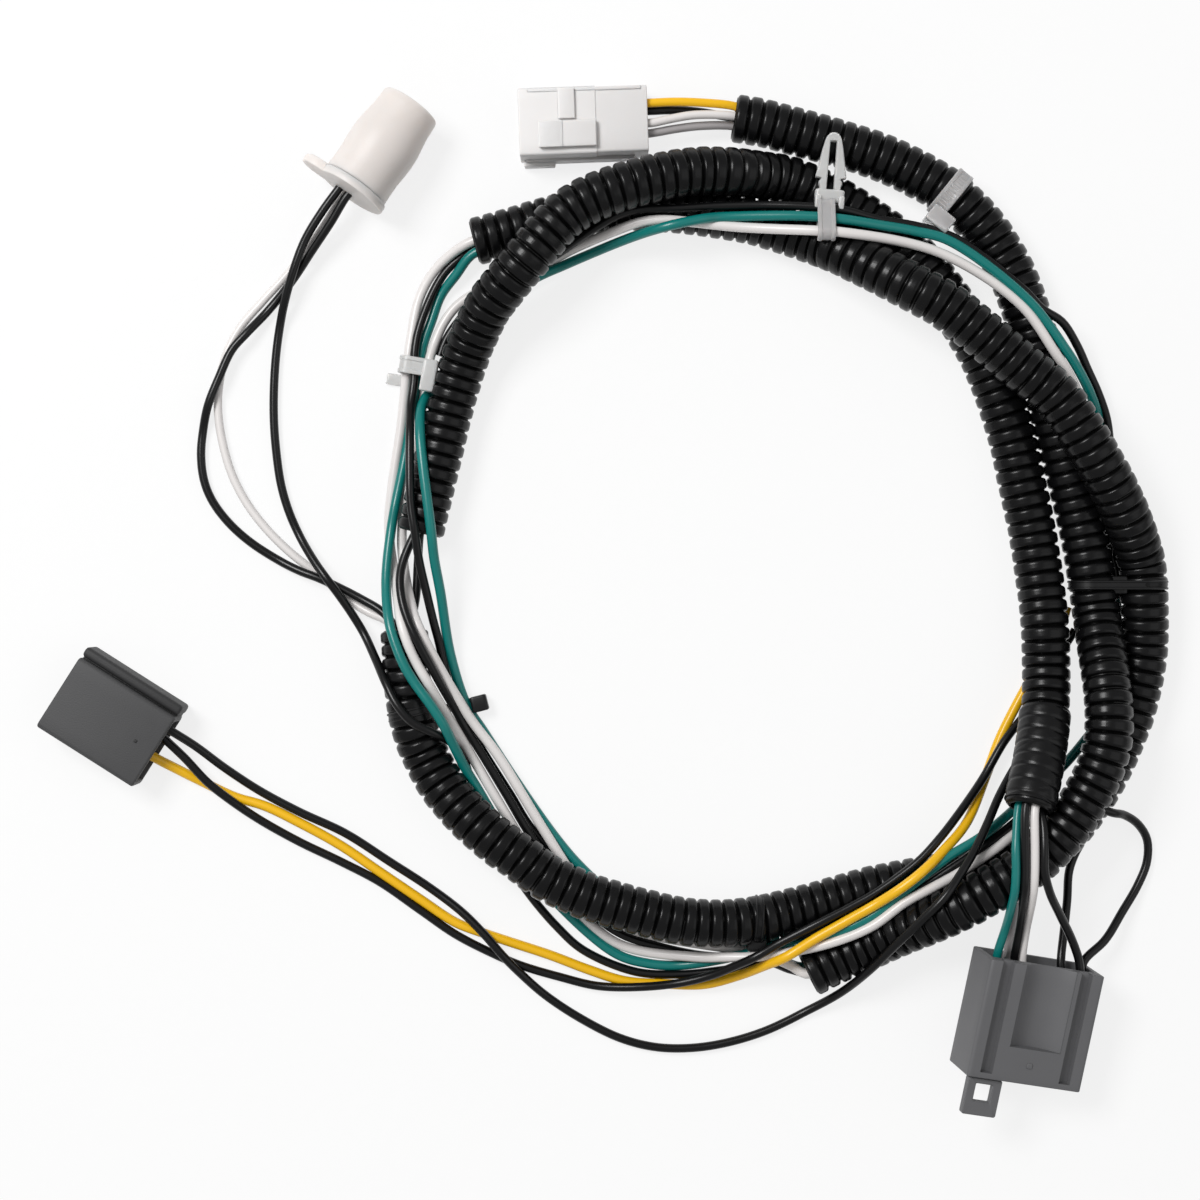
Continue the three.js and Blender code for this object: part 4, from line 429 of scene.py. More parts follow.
def make_piece(name, sheets, material, nodes=(), place=None, sharp=SHARP_ANGLE):
    """Join sheets into one mesh object in metres, with its material, its body and the nodes it replaces."""
    points, faces, uvs, rises = zip(*sheets)
    starts = np.concatenate([[0], np.cumsum([len(group) for group in points])[:-1]]).tolist()
    places = np.vstack(points) if place is None else stand(np.vstack(points), place)
    faces = [[corner + start for corner in face] for group, start in zip(faces, starts) for face in group]
    mesh = bpy.data.meshes.new(name)
    mesh.from_pydata((places * MILLIMETRE).tolist(), [], faces)
    corners = np.zeros(len(mesh.loops), dtype=np.int32)
    mesh.loops.foreach_get("vertex_index", corners)
    layer = mesh.uv_layers.new(name="length_and_turn")
    layer.data.foreach_set("uv", np.vstack(uvs)[corners].astype(np.float32).ravel())
    rise = mesh.attributes.new(name="rise", type="FLOAT", domain="POINT")
    rise.data.foreach_set("value", np.concatenate(rises).astype(np.float32))
    mesh.polygons.foreach_set("use_smooth", np.ones(len(mesh.polygons), dtype=bool))
    mesh.validate()
    mesh.set_sharp_from_angle(angle=sharp)
    mesh.materials.append(material)
    piece = add_object(name, mesh)
    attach(piece, BODY)
    if nodes:
        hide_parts(*nodes)
    return piece


# %% [markdown]
# ## Finishes
# All the plastics here share one plan: a body colour with a faint cloudiness, a roughness that wanders a
# little, and a fine surface grain. What differs is the numbers: conduit is waxy, wire insulation is smooth
# and satin, moulded housings carry a fine spark-eroded grain, and nylon lets light through. Colours are
# written as they look on a screen and turned into the linear numbers that a shader works with.

# %% Plastic finishes
MIX_SHARE, MIX_FIRST, MIX_SECOND, MIX_RESULT = 0, 6, 7, 2
RELIEF_HEIGHT = 0.0002
ROUGHNESS_SPREAD = 0.07
STREAK_STRETCH = 12.0


def screen_colour(red, green, blue):
    """Linear colour of a screen colour of 0 to 255: each part over 255 raised through the sRGB curve."""
    parts = np.array([red, green, blue]) / 255
    linear = np.where(parts <= 0.04045, parts / 12.92, ((parts + 0.055) / 1.055) ** 2.4)
    return (*linear.tolist(), 1.0)


def set_inputs(tree, node, inputs):
    """Give a material node its inputs: a socket is linked, and any other value is written in."""
    for key, value in inputs.items():
        if isinstance(value, bpy.types.NodeSocket):
            tree.links.new(value, node.inputs[key])
        else:
            node.inputs[key].default_value = value
    return node


def add_node(tree, kind, inputs, **settings):
    """New material node with its settings and inputs."""
    node = tree.nodes.new(kind)
    for key, value in settings.items():
        setattr(node, key, value)
    return set_inputs(tree, node, inputs)


def noise(tree, place, scale, detail):
    """Cloudy noise from 0 to 1, read at a place."""
    node = add_node(tree, "ShaderNodeTexNoise", {"Vector": place, "Scale": scale, "Detail": detail})
    return node.outputs["Fac"]


def blend(tree, share, first, second):
    """Colour that goes from the first at share 0 to the second at share 1."""
    inputs = {MIX_SHARE: share, MIX_FIRST: first, MIX_SECOND: second}
    return add_node(tree, "ShaderNodeMix", inputs, data_type="RGBA").outputs[MIX_RESULT]


def relief(tree, height, strength, below=None):
    """Normal of a fine relief, which lies on the relief below it where there is one."""
    inputs = {"Height": height, "Strength": strength, "Distance": RELIEF_HEIGHT}
    if below is not None:
        inputs["Normal"] = below
    return add_node(tree, "ShaderNodeBump", inputs).outputs["Normal"]


def plastic(name, colour, roughness, cloud=(120.0, 0.12), grain=(2500.0, 0.05), streaks=None,
            depth=None, clear=0.0, inner=None, gloss=0.5):
    """A moulded or extruded plastic.

    Cloud is the scale and amount of the colour's cloudiness, grain the scale and strength of the bump, and
    streaks the same for lines along an extrusion. Depth is how far light scatters below the surface in mm,
    clear the share of light that passes through, inner a painted shade colour that is mixed in where the rise
    is low, and gloss the strength of the mirror-like part, where 0.5 is common plastic.
    """
    material = bpy.data.materials.new(name)
    material.use_nodes = True
    tree = material.node_tree
    coords = tree.nodes.new("ShaderNodeTexCoord").outputs
    clouds = noise(tree, coords["Object"], cloud[0], 4.0)
    darker = (*[part * (1 - cloud[1]) for part in colour[:3]], 1.0)
    lighter = (*[min(part * (1 + cloud[1]), 1.0) for part in colour[:3]], 1.0)
    body = blend(tree, clouds, darker, lighter)
    # Painted shade: the inner colour darkens the body colour where the rise attribute is low.
    if inner:
        height = add_node(tree, "ShaderNodeAttribute", {}, attribute_name="rise")
        body = blend(tree, height.outputs["Fac"], inner, body)
    polish = add_node(tree, "ShaderNodeMapRange", {
        "Value": clouds, "To Min": roughness - ROUGHNESS_SPREAD, "To Max": roughness + ROUGHNESS_SPREAD})
    surface_relief = relief(tree, noise(tree, coords["Object"], grain[0], 3.0), grain[1])
    if streaks:
        stretch = add_node(tree, "ShaderNodeMapping", {
            "Vector": coords["UV"], "Scale": (STREAK_STRETCH, streaks[0], 1.0)})
        lines = noise(tree, stretch.outputs["Vector"], 1.0, 3.0)
        surface_relief = relief(tree, lines, streaks[1], surface_relief)
    inputs = {"Base Color": body, "Roughness": polish.outputs["Result"], "Normal": surface_relief,
              "IOR": 1.5, "Specular IOR Level": gloss, "Transmission Weight": clear}
    if depth:
        inputs.update({"Subsurface Weight": 1.0, "Subsurface Radius": (1.0, 0.94, 0.9),
                       "Subsurface Scale": depth * MILLIMETRE})
    set_inputs(tree, tree.nodes["Principled BSDF"], inputs)
    return material


# %% [markdown]
# ## Floor and light
# The photograph stands on pure white. A white floor seen by the camera is mixed with plain white light, so it
# reads as paper while a trace of the soft shadow stays. A key lamp at the upper left, a wide weak lamp at the
# right and an even sky light the harness at a level where a colour renders about as it is written.

# %% Floor
FLOOR_SIZE = 9000.0
WHITE_SHARE = 0.8
PAPER_SHADES = ((0.86, 0.86, 0.86, 1.0), (0.90, 0.90, 0.90, 1.0))


def calculate(tree, operation, first, second):
    """Result of one sum of two numbers in a material."""
    return add_node(tree, "ShaderNodeMath", {0: first, 1: second}, operation=operation).outputs[0]


def paper_floor():
    """White paper: a matt white that turns towards plain white where the camera looks at it, or where a
    mirror or clear nylon shows it."""
    material = bpy.data.materials.new("paper")
    material.use_nodes = True
    tree = material.node_tree
    fibres = noise(tree, tree.nodes.new("ShaderNodeTexCoord").outputs["Object"], 300.0, 2.0)
    paper = set_inputs(tree, tree.nodes["Principled BSDF"], {
        "Base Color": blend(tree, fibres, *PAPER_SHADES), "Roughness": 0.9, "Specular IOR Level": 0.1})
    ray = tree.nodes.new("ShaderNodeLightPath").outputs
    seen = calculate(tree, "MAXIMUM", ray["Is Camera Ray"], ray["Is Glossy Ray"])
    seen = calculate(tree, "MAXIMUM", seen, ray["Is Transmission Ray"])
    white = add_node(tree, "ShaderNodeEmission", {"Strength": 1.0})
    mix = add_node(tree, "ShaderNodeMixShader", {
        "Fac": calculate(tree, "MULTIPLY", seen, WHITE_SHARE), 1: paper.outputs["BSDF"],
        2: white.outputs["Emission"]})
    set_inputs(tree, tree.nodes["Material Output"], {"Surface": mix.outputs["Shader"]})
    return material


half_floor = FLOOR_SIZE / 2 * MILLIMETRE
floor_mesh = bpy.data.meshes.new("table_top")
floor_mesh.from_pydata(
    [(-half_floor, -half_floor, 0), (half_floor, -half_floor, 0), (half_floor, half_floor, 0),
     (-half_floor, half_floor, 0)], [], [(0, 1, 2, 3)])
floor_mesh.materials.append(paper_floor())
floor = add_object("table_top", floor_mesh)
print("floor side in mm:", FLOOR_SIZE)

# %% Lamps and sky
SKY_STRENGTH = 0.38
LAMPS = {
    "key_from_upper_left": {"at": (-0.55, 0.45, 0.95), "size": 0.42, "power": 10.5},
    "fill_from_right": {"at": (0.75, -0.1, 0.8), "size": 0.9, "power": 1.4},
}

for lamp_name, lamp in LAMPS.items():
    light = bpy.data.lights.new(lamp_name, "AREA")
    light.size = lamp["size"]
    light.energy = lamp["power"]
    holder = add_object(lamp_name, light)
    holder.location = lamp["at"]
    x, y, z = lamp["at"]
    # The lamp shines along its own -Z, which is turned towards the middle of the table
    holder.rotation_euler = (math.acos(z / math.hypot(x, y, z)), 0.0, math.atan2(-y, -x) - math.pi / 2)

world = bpy.data.worlds.new("studio")
world.use_nodes = True
sky = world.node_tree
sky_ray = sky.nodes.new("ShaderNodeLightPath").outputs
sky_level = add_node(sky, "ShaderNodeMapRange", {
    "Value": sky_ray["Is Camera Ray"], "To Min": SKY_STRENGTH, "To Max": 1.0})
set_inputs(sky, sky.nodes["Background"], {
    "Color": (1.0, 1.0, 1.0, 1.0), "Strength": sky_level.outputs["Result"]})
bpy.context.scene.world = world
bpy.context.scene.view_settings.view_transform = "Standard"
print("lamps:", len(LAMPS))

# %% [markdown]
# ## Wires
# Each wire is a soft PVC-insulated single core, 2.4 mm across, or 2.75 mm for the heavier ones. Extruded
# insulation is smooth, with a satin gloss and very faint lines along its length. It could be a bevelled
# curve, but as a mesh its lines can be told to run along it.

# %% Wire finishes
WIRE_COLOURS = {
    "black": screen_colour(11, 11, 12),
    "white": screen_colour(226, 222, 220),
    "green": screen_colour(8, 117, 112),
    "yellow": screen_colour(242, 186, 18),
    "grey": screen_colour(168, 164, 164),
}
wire_finishes = {
    colour: plastic(f"insulation_{colour}", shade, 0.30, cloud=(90.0, 0.05), grain=(1800.0, 0.03),
                    streaks=(16.0, 0.06), gloss=0.35 if colour == "black" else 0.5)
    for colour, shade in WIRE_COLOURS.items()
}
print("wire colours:", ", ".join(WIRE_COLOURS))

# %% Wires as tubes
WIRE_OD = 2.4
HEAVY_OD = 2.75
HEAVY_WIRES = ("wire_trunk_green", "wire_trunk_white", "wire_plug_yellow")
WIRE_STEP = 1.4
WIRE_SIDES = 14
WIRE_CLEARANCE = 0.03

turn = around(WIRE_SIDES)
for node in [name for name in ROUTES if name.startswith("wire_")]:
    colour = node.split("_")[2]
    diameter = HEAVY_OD if node.startswith(HEAVY_WIRES) else WIRE_OD
    line = smooth_line(ROUTES[node], WIRE_STEP)
    line[:, 2] = np.maximum(line[:, 2], diameter / 2 + WIRE_CLEARANCE)
    wire = make_piece(f"{node}_run", [surface(tube(line, diameter / 2, turn), caps=True)],
                      wire_finishes[colour], nodes=[node])

# %% [markdown]
# ## Corrugated conduit
# The conduit is blown polyethylene with a rib every 3.7 mm: a broad crown with round shoulders, like a small
# barrel, and a narrow valley between ribs. Valleys and bore are painted darker as shade. It is split
# lengthwise so that wires can be laid in. Each rib gets a slight random shift and height, as the soft tube
# never bends evenly. A displacement modifier could raise the ribs, but a profile sampled at the shoulders and
# walls gives clean edges with far fewer faces.

# %% Conduit profile
RIB_PITCH = 3.7
CROWN_RADIUS = 6.6
FLOOR_RADIUS = 5.6
BORE_RADIUS = 5.05
# Height of a rib, from 0 in the valley to 1 on its crown, at each share of the way from valley to valley
RIB_PHASE = np.array([0.0, 0.05, 0.085, 0.13, 0.19, 0.27, 0.38, 0.5, 0.62, 0.73, 0.81, 0.87, 0.915, 0.95])
# The same rise sets how much painted shade the conduit's finish mixes in, most in the valleys.
RIB_RISE = np.array([0.0, 0.12, 0.42, 0.68, 0.87, 0.98, 1.0, 0.98, 1.0, 0.98, 0.87, 0.68, 0.42, 0.12])
RIB_SHIFT, RIB_WOBBLE = 0.055, 0.03
CONDUIT_STEP, CONDUIT_SIDES = 1.2, 36
CONDUIT_CLEARANCE = 0.02
SLIT_ANGLE = 2 * math.pi - 0.6
SLIT_WIDTH, SLIT_DEPTH = 0.03, 0.28
SLIT_POINTS = np.array([-0.05, -0.02, 0.02, 0.05])


def ribbed_tube(line, seed):
    """Outside of a corrugated tube.

    The running length of a ring is its rib's number plus its phase, times the pitch. The radius is the
    valley's radius plus the rise at that phase times the rib's height. Each rib is shifted along and raised
    or lowered by a small random amount, and the slit pulls the radius in by a narrow bell curve round its
    angle. Nothing goes below the table.
    """
    chance = np.random.default_rng(seed)
    total = along(line)[-1]
    ribs = int(total / RIB_PITCH)
    phase = np.append((np.arange(ribs)[:, None] + RIB_PHASE).ravel() * (total / ribs), total)
    rise = np.append(np.tile(RIB_RISE, ribs), 0.0)
    shift, wobble = (np.append(np.repeat(chance.normal(0, spread, ribs), len(RIB_PHASE)), 0.0)
                     for spread in (RIB_SHIFT, RIB_WOBBLE))
    lengths = np.clip(phase + shift * rise, 0, total)
    places = read_line(line, np.maximum.accumulate(lengths))
    angles = np.sort(np.concatenate([around(CONDUIT_SIDES), SLIT_ANGLE + SLIT_POINTS]))
    slit = np.exp(-(((angles - SLIT_ANGLE) / SLIT_WIDTH) ** 2))
    radius = FLOOR_RADIUS + (CROWN_RADIUS - FLOOR_RADIUS + wobble)[:, None] * rise[:, None]
    radius = np.minimum(radius, CROWN_RADIUS + CONDUIT_CLEARANCE) - SLIT_DEPTH * slit
    grid = rings(places, cross_frame(read_line(line, phase)), radius, angles)
    grid[..., 2] = np.maximum(grid[..., 2], CONDUIT_CLEARANCE)
    uv = np.stack(np.meshgrid(phase * MILLIMETRE, angles / (2 * math.pi), indexing="ij"), axis=-1)
    return grid, uv, rise[:, None], angles


def conduit_sheets(line, seed):
    """A conduit as outside, bore and two end rings. The bore has rise 0, so it takes the full painted shade
    colour.
    """
    grid, uv, rise, angles = ribbed_tube(line, seed)
    bore_line = read_line(line, np.linspace(0, along(line)[-1], max(len(line) // 3, 8)))
    bore = tube(bore_line, BORE_RADIUS, angles)
    return [surface(grid, uv=uv, rise=rise), surface(bore[::-1], rise=0.0), *end_rings(bore, grid)]


# The inner colour is painted shade, near black in the rib valleys and the bore.
conduit_finish = plastic("conduit_polyethylene", screen_colour(13, 13, 14), 0.28, cloud=(160.0, 0.25),
                         grain=(2200.0, 0.08), streaks=(34.0, 0.16), inner=screen_colour(3, 3, 3), gloss=0.24)
conduit_lines = {}
for seed, node in enumerate(("conduit_inner", "conduit_outer", "conduit_bridge")):
    conduit_lines[node] = smooth_line(ROUTES[node], CONDUIT_STEP)
    piece = make_piece(f"{node}_ribbed", conduit_sheets(conduit_lines[node], seed), conduit_finish,
                       nodes=[node], sharp=math.radians(60))
    print(node, "length in mm:", round(along(conduit_lines[node])[-1]), "faces:", len(piece.data.polygons))

# %% [markdown]
# ## Tape at the mouth
# The last stretch of one conduit is wrapped in black tape, which bridges the ribs and sags a little into the
# gaps between them. It could be a thin strip wound as a spiral. A tube whose radius keeps a memory of the
# ribs and steps up by one thickness along a spiral line shows the same thing with no loose edges.

# %% Tape wrap
TAPE_LENGTH = 27.0
TAPE_SETBACK = 1.5
TAPE_RADIUS, TAPE_INSIDE = 6.95, 6.42
TAPE_THICKNESS, TAPE_BAND = 0.10, 14.0
TAPE_SAG, TAPE_CREASE = 0.34, 0.05
TAPE_ROWS, TAPE_SIDES = 190, 64


def tape_sheets(line):
    """Tape over ribs.

    The radius is a base, less a narrow dip where the tape sinks between two ribs, plus a step of one
    thickness where the spiral number (length over band width plus turn) passes a whole number, plus small
    creases. The dip is a high power of a cosine of the rib pitch, so it stays narrow, and its depth varies
    three times round the tape, as tape pulled by hand sinks in unevenly.
    """
    run = np.linspace(0, TAPE_LENGTH, TAPE_ROWS)
    places = read_line(line, along(line)[-1] - TAPE_SETBACK - TAPE_LENGTH + run)
    run = run[:, None]
    angles = around(TAPE_SIDES)
    spiral = (run / TAPE_BAND + angles / (2 * math.pi)) % 1.0
    step = TAPE_THICKNESS * np.clip(spiral * 30, 0, 1)
    valley = 0.5 + 0.5 * np.cos(2 * math.pi * (run / RIB_PITCH + 0.06 * np.sin(2 * angles)))
    dip = TAPE_SAG * valley**6 * (0.72 + 0.28 * np.sin(3 * angles + 1.0))
    crease = TAPE_CREASE * np.sin(7 * angles + 0.9 * run) * np.sin(0.7 * run)
    outside = tube(places, TAPE_RADIUS - dip + step + crease, angles)
    inside = tube(places, TAPE_INSIDE, angles)
    return [surface(outside), surface(inside[::-1]), *end_rings(inside, outside)]


tape_finish = plastic("black_vinyl_tape", screen_colour(13, 13, 14), 0.32, cloud=(200.0, 0.3),
                      grain=(900.0, 0.2), gloss=0.28)
make_piece("mouth_tape_wrap", tape_sheets(conduit_lines["conduit_bridge"]), tape_finish,
           nodes=["conduit_mouth_tape"], sharp=math.radians(50))
print("tape length in mm:", TAPE_LENGTH)

# %% [markdown]
# ## Moulded blocks
# Connectors, latches and tie heads are moulded boxes with small rounded edges. A box could be a cube with a
# bevel modifier. Here it is a rounded rectangle carried along the piece, drawn in near both ends, which gives
# the same edge and also lets a surface turn inwards at a mouth, so that a cavity and its rim are one sheet.

# %% Rounded outlines and blocks
EDGE_STEPS = np.array([0.0, 0.3, 0.62, 1.0])
RIM_CHAMFER, RIM_DEPTH = 0.25, 0.4
REST_GAP = 0.05


def box_ring(width, low, high, corner, stops=None):
    """Outline of a box seen along its length: four quarter circles joined by straight sides.

    The top side's points stand at the given shares of its straight half, so a top can be given grooves, and
    the other sides have evenly spaced points.
    """
    stops = np.linspace(1, -1, 7)[1:-1] if stops is None else np.asarray(stops)
    corner = min(corner, width / 2, (high - low) / 2)
    bend = np.linspace(0, math.pi / 2, 5)
    right, left, top, bottom = width / 2 - corner, -width / 2 + corner, high - corner, low + corner
    level = np.linspace(0, 1, 6)[1:-1]
    parts = [
        np.stack([right + corner * np.cos(bend), top + corner * np.sin(bend)], axis=1),
        np.stack([stops * right, np.full(len(stops), high)], axis=1),
        np.stack([left - corner * np.sin(bend), top + corner * np.cos(bend)], axis=1),
        np.stack([np.full(4, left - corner), top + (bottom - top) * level], axis=1),
        np.stack([left - corner * np.cos(bend), bottom - corner * np.sin(bend)], axis=1),
        np.stack([left + (right - left) * level, np.full(4, low)], axis=1),
        np.stack([right + corner * np.sin(bend), bottom - corner * np.cos(bend)], axis=1),
        np.stack([np.full(4, right + corner), bottom + (top - bottom) * level], axis=1),
    ]
    return np.vstack(parts)


def carried(stations, stops=None):
    """Box outlines carried along Y: each station is (y, width, low, high, corner)."""
    grid = np.stack([box_ring(width, low, high, corner, stops) for _, width, low, high, corner in stations])
    y = np.array([station[0] for station in stations])
    return np.stack([grid[..., 0], np.broadcast_to(y[:, None], grid.shape[:2]), grid[..., 1]], axis=-1)


def rounded_end(y, inward, width, low, high, corner, edge):
    """Stations that round an end: the outline is drawn in by edge times (1 - cos) as y nears the end by
    edge times sin, a quarter circle."""
    bend = EDGE_STEPS * math.pi / 2
    draw = edge * (1 - np.cos(bend))
    back = edge * (1 - np.sin(bend))
    return [(y + inward * b, width - 2 * d, low + d, high - d, max(corner - d, 0.05))
            for b, d in zip(back, draw)]


def block_sheet(width, length, height, corner=0.5, edge=0.3, x=0.0, y=0.0, z=0.0, rise=1.0):
    """A closed rounded block standing on z, centred on x and y. A rise below 1 mixes in the inner colour of
    the finish, which is painted shade."""
    front = rounded_end(-length / 2, 1, width, 0, height, corner, edge)[::-1]
    back = rounded_end(length / 2, -1, width, 0, height, corner, edge)
    grid = carried(front + back) + np.array([x, y, z])
    return surface(grid, caps=True, rise=rise)


def shell_stations(size, edge=0.35):
    """Stations of a connector shell as one sheet, in four runs: out of the mating cavity to its rim, over the
    rounded front, over the rounded rear, and from the wire rim into the wire pocket."""
    half = size["length"] / 2
    inner = (size["width"] - 2 * size["wall"], size["floor"], size["height"] - size["roof"], 0.5)
    outer = (size["width"], 0.0, size["height"], size["corner"])
    rim = (inner[0] + 2 * RIM_CHAMFER, inner[1] - RIM_CHAMFER, inner[2] + RIM_CHAMFER, 0.6)
    mouth = [(-half + size["cavity"], *inner), (-half + RIM_DEPTH, *inner), (-half, *rim)]
    front = rounded_end(-half, 1, *outer, edge)[::-1]
    back = rounded_end(half, -1, *outer, edge)
    tail = [(half, *rim), (half - RIM_DEPTH, *inner), (half - size["pocket"], *inner)]
    return mouth, front, back, tail


# %% [markdown]
# ## Grey body connector
# The largest connector is a seven-way moulded housing. Its top has a scooped thumb recess between two guide
# grooves that run from the wire end almost to the front. The grooves could be cut with booleans. Instead
# the top of the carried outline is lowered by a depth that depends on both x and y, so the recess keeps its
# hollow, the grooves keep crisp walls, and the whole shell stays one clean sheet.

# %% Grey housing
GREY = {"width": 33.0, "length": 32.5, "height": 15.5, "corner": 1.0, "wall": 1.8, "floor": 1.8, "roof": 4.0,
        "cavity": 14.0, "pocket": 12.0}
GREY_PITCH, GREY_ROLL = 4.0, 12.0
pitch_sine, pitch_cosine = math.sin(math.radians(GREY_PITCH)), math.cos(math.radians(GREY_PITCH))
roll_sine, roll_cosine = math.sin(math.radians(GREY_ROLL)), math.cos(math.radians(GREY_ROLL))
grey_lift = GREY["width"] / 2 * roll_sine * pitch_cosine + GREY["length"] / 2 * pitch_sine
GREY_PLACE = {"x": 114.9, "y": -113.5, "z": grey_lift + REST_GAP, "yaw": -11.3, "pitch": GREY_PITCH,
              "roll": GREY_ROLL}
RECESS = {"left": -6.3, "right": 8.5, "front": -6.5, "edge": 0.5, "middle": 3.6}
GROOVES = ((-13.1, -9.7), (9.7, 12.9))
GROOVE_DEPTH, GROOVE_FRONT = 1.9, -14.6
STEP_GAP = 0.03


def top_depth(x, y):
    """How far the grey top is lowered: in the recess an edge depth plus a parabola across it, in a groove one
    fixed depth, and nothing in front of where each ends."""
    across = (2 * x - RECESS["left"] - RECESS["right"]) / (RECESS["right"] - RECESS["left"])
    scoop = RECESS["edge"] + (RECESS["middle"] - RECESS["edge"]) * (1 - across**2)
    depth = np.where(np.abs(across) <= 1, scoop, 0.0) * (y > RECESS["front"])
    for left, right in GROOVES:
        depth = depth + GROOVE_DEPTH * ((x >= left) & (x <= right)) * (y > GROOVE_FRONT)
    return depth


def grey_shell():
    """The grey shell: a carried outline, its top lowered by top_depth, with points at both sides of each
    step."""
    straight = GREY["width"] / 2 - GREY["corner"]
    steps = np.array([RECESS["left"], RECESS["right"], *GROOVES[0], *GROOVES[1]])
    stops = np.concatenate([steps - STEP_GAP, steps + STEP_GAP, [15.2, 14.2, -14.2, -15.2],
                            np.linspace(RECESS["left"], RECESS["right"], 15)[1:-1]])
    stops = np.sort(stops)[::-1] / straight
    mouth, front, back, tail = shell_stations(GREY)
    levels = (GROOVE_FRONT - STEP_GAP, GROOVE_FRONT + STEP_GAP, -10, RECESS["front"] - STEP_GAP,
              RECESS["front"] + STEP_GAP, 0, 6, 12)
    middle = [(y, GREY["width"], 0.0, GREY["height"], GREY["corner"]) for y in levels]
    grid = carried(mouth + front + middle + back + tail, stops)
    outside = np.zeros(len(grid), dtype=bool)
    outside[len(mouth):len(grid) - len(tail)] = True
    top = (grid[..., 2] > GREY["height"] - 0.5) & outside[:, None] & (np.abs(grid[..., 0]) < straight)
    grid[..., 2] -= np.where(top, top_depth(grid[..., 0], grid[..., 1]), 0.0)
    return surface(grid, caps=True)


grey_finish = plastic("grey_nylon_moulding", screen_colour(98, 98, 100), 0.55, cloud=(140.0, 0.06),
                      grain=(3200.0, 0.10))
ARM = {"width": 6.0, "length": 18.0, "x": -9.5, "overlap": 0.9}
arm_drop = (grey_lift - (ARM["x"] + ARM["width"] / 2) * roll_sine * pitch_cosine
            - ARM["length"] / 2 * pitch_sine) / (roll_cosine * pitch_cosine)
arm = block_sheet(ARM["width"], ARM["length"], arm_drop + ARM["overlap"], corner=0.4, x=ARM["x"], z=-arm_drop)
gate_mark = block_sheet(1.5, 1.5, 0.5, corner=0.2, edge=0.2, x=0.4, y=-11.0, z=GREY["height"] - 0.2)
make_piece("body_housing_shell", [grey_shell(), arm, gate_mark], grey_finish, nodes=["body_housing"],
           place=GREY_PLACE)
print("grey housing lifted by mm:", round(grey_lift, 2), "arm reaches down by mm:", round(arm_drop, 2))

# %% Grey lock tab
GREY_TAB = {"width": 9.8, "length": 10.4, "thickness": 2.4, "window": 4.9, "rim": 1.6, "drop": 1.5,
            "x": -10.4}


def frame_sheet(width, length, height, hole_width, hole_length, x, y, z, hole_y, corner=0.6, edge=0.25):
    """A flat frame with a window: a closed profile goes up the outside, over the top, down the window and
    back under, and each profile corner is rounded by one small step. Outlines are rounded rectangles."""
    profile = [(0.0, edge), (0.0, height - edge), (edge, height), (1 - edge, height), (1.0, height - edge),
               (1.0, edge), (1 - edge, 0.0), (edge, 0.0)]
    outer = box_ring(width, -length / 2, length / 2, corner)
    inner = box_ring(hole_width, hole_y - hole_length / 2, hole_y + hole_length / 2, 0.3)
    rows = []
    for share, level in profile:
        if share in (0.0, 1.0):
            ring = outer if share == 0.0 else inner
        elif share == edge:
            ring = outer * (1 - 2 * edge / width)
        else:
            ring = (inner - [0, hole_y]) * (1 + 2 * edge / hole_width) + [0, hole_y]
        rows.append(np.column_stack([ring[:, 0] + x, ring[:, 1] + y, np.full(len(ring), z + level)]))
    return surface(np.stack(rows), close_rows=True)


tab_y = -GREY["length"] / 2 - 0.3 - GREY_TAB["length"] / 2
window_y = GREY_TAB["length"] / 2 - GREY_TAB["rim"] - GREY_TAB["window"] / 2
make_piece("body_lock_tab_frame", [
    frame_sheet(GREY_TAB["width"], GREY_TAB["length"], GREY_TAB["thickness"], GREY_TAB["window"],
                GREY_TAB["window"], GREY_TAB["x"], tab_y,
                GREY["height"] - GREY_TAB["drop"] - GREY_TAB["thickness"], window_y),
], grey_finish, nodes=["body_lock_tab"], place=GREY_PLACE)
print("tab length in mm:", GREY_TAB["length"])

# %% [markdown]
# ## White latch connector
# A four-way housing in opaque white nylon, lying on its flat side with the latch up: a cross rail, the lever
# that springs over it, and a skirt along one lower edge. Each is its own moulded form, joined into one shell
# apart from the lever, which stands clear of the top so that it could be pressed.

# %% White housing and lever
WHITE = {"width": 18.6, "length": 35.3, "height": 12.0, "corner": 0.8, "wall": 1.5, "floor": 1.5, "roof": 1.5,
         "cavity": 17.0, "pocket": 5.0}
WHITE_PLACE = {"x": -4.6, "y": 131.2, "z": REST_GAP, "yaw": -88.0}
STEP_Y, STEP_RUN = 3.4, 0.15
REAR_NARROWER, REAR_LOWER = 0.5, 0.3

white_finish = plastic("white_nylon_moulding", screen_colour(225, 223, 222), 0.42, cloud=(90.0, 0.02),
                       grain=(2600.0, 0.05), depth=0.45)
mouth, front, back, tail = shell_stations(WHITE)
shoulder = [(STEP_Y, WHITE["width"], 0.0, WHITE["height"], WHITE["corner"]),
            (STEP_Y + STEP_RUN, WHITE["width"] - REAR_NARROWER, 0.0, WHITE["height"] - REAR_LOWER,
             WHITE["corner"])]
rear = [(y, width - REAR_NARROWER, low, high - REAR_LOWER, corner) for y, width, low, high, corner in back]
white_shell = surface(carried(mouth + front + shoulder + rear + tail), caps=True)
lower_skirt = block_sheet(2.6, 30.0, 5.5, edge=0.4, x=WHITE["width"] / 2 - 0.7, y=-1.0)
skirt_foot = block_sheet(2.8, 8.6, 4.0, edge=0.4, x=WHITE["width"] / 2 + 0.3, y=-12.4)
cross_rail = block_sheet(8.4, 4.6, 1.6, corner=0.35, x=-4.5, y=-4.5, z=WHITE["height"] - 0.5)
side_rib = block_sheet(1.0, 31.0, 0.8, corner=0.3, x=-8.4, y=0.5, z=WHITE["height"] - 0.6)
lever = block_sheet(7.2, 15.8, 1.4, corner=0.4, edge=0.4, x=3.9, y=-4.4, z=WHITE["height"] + 0.3)
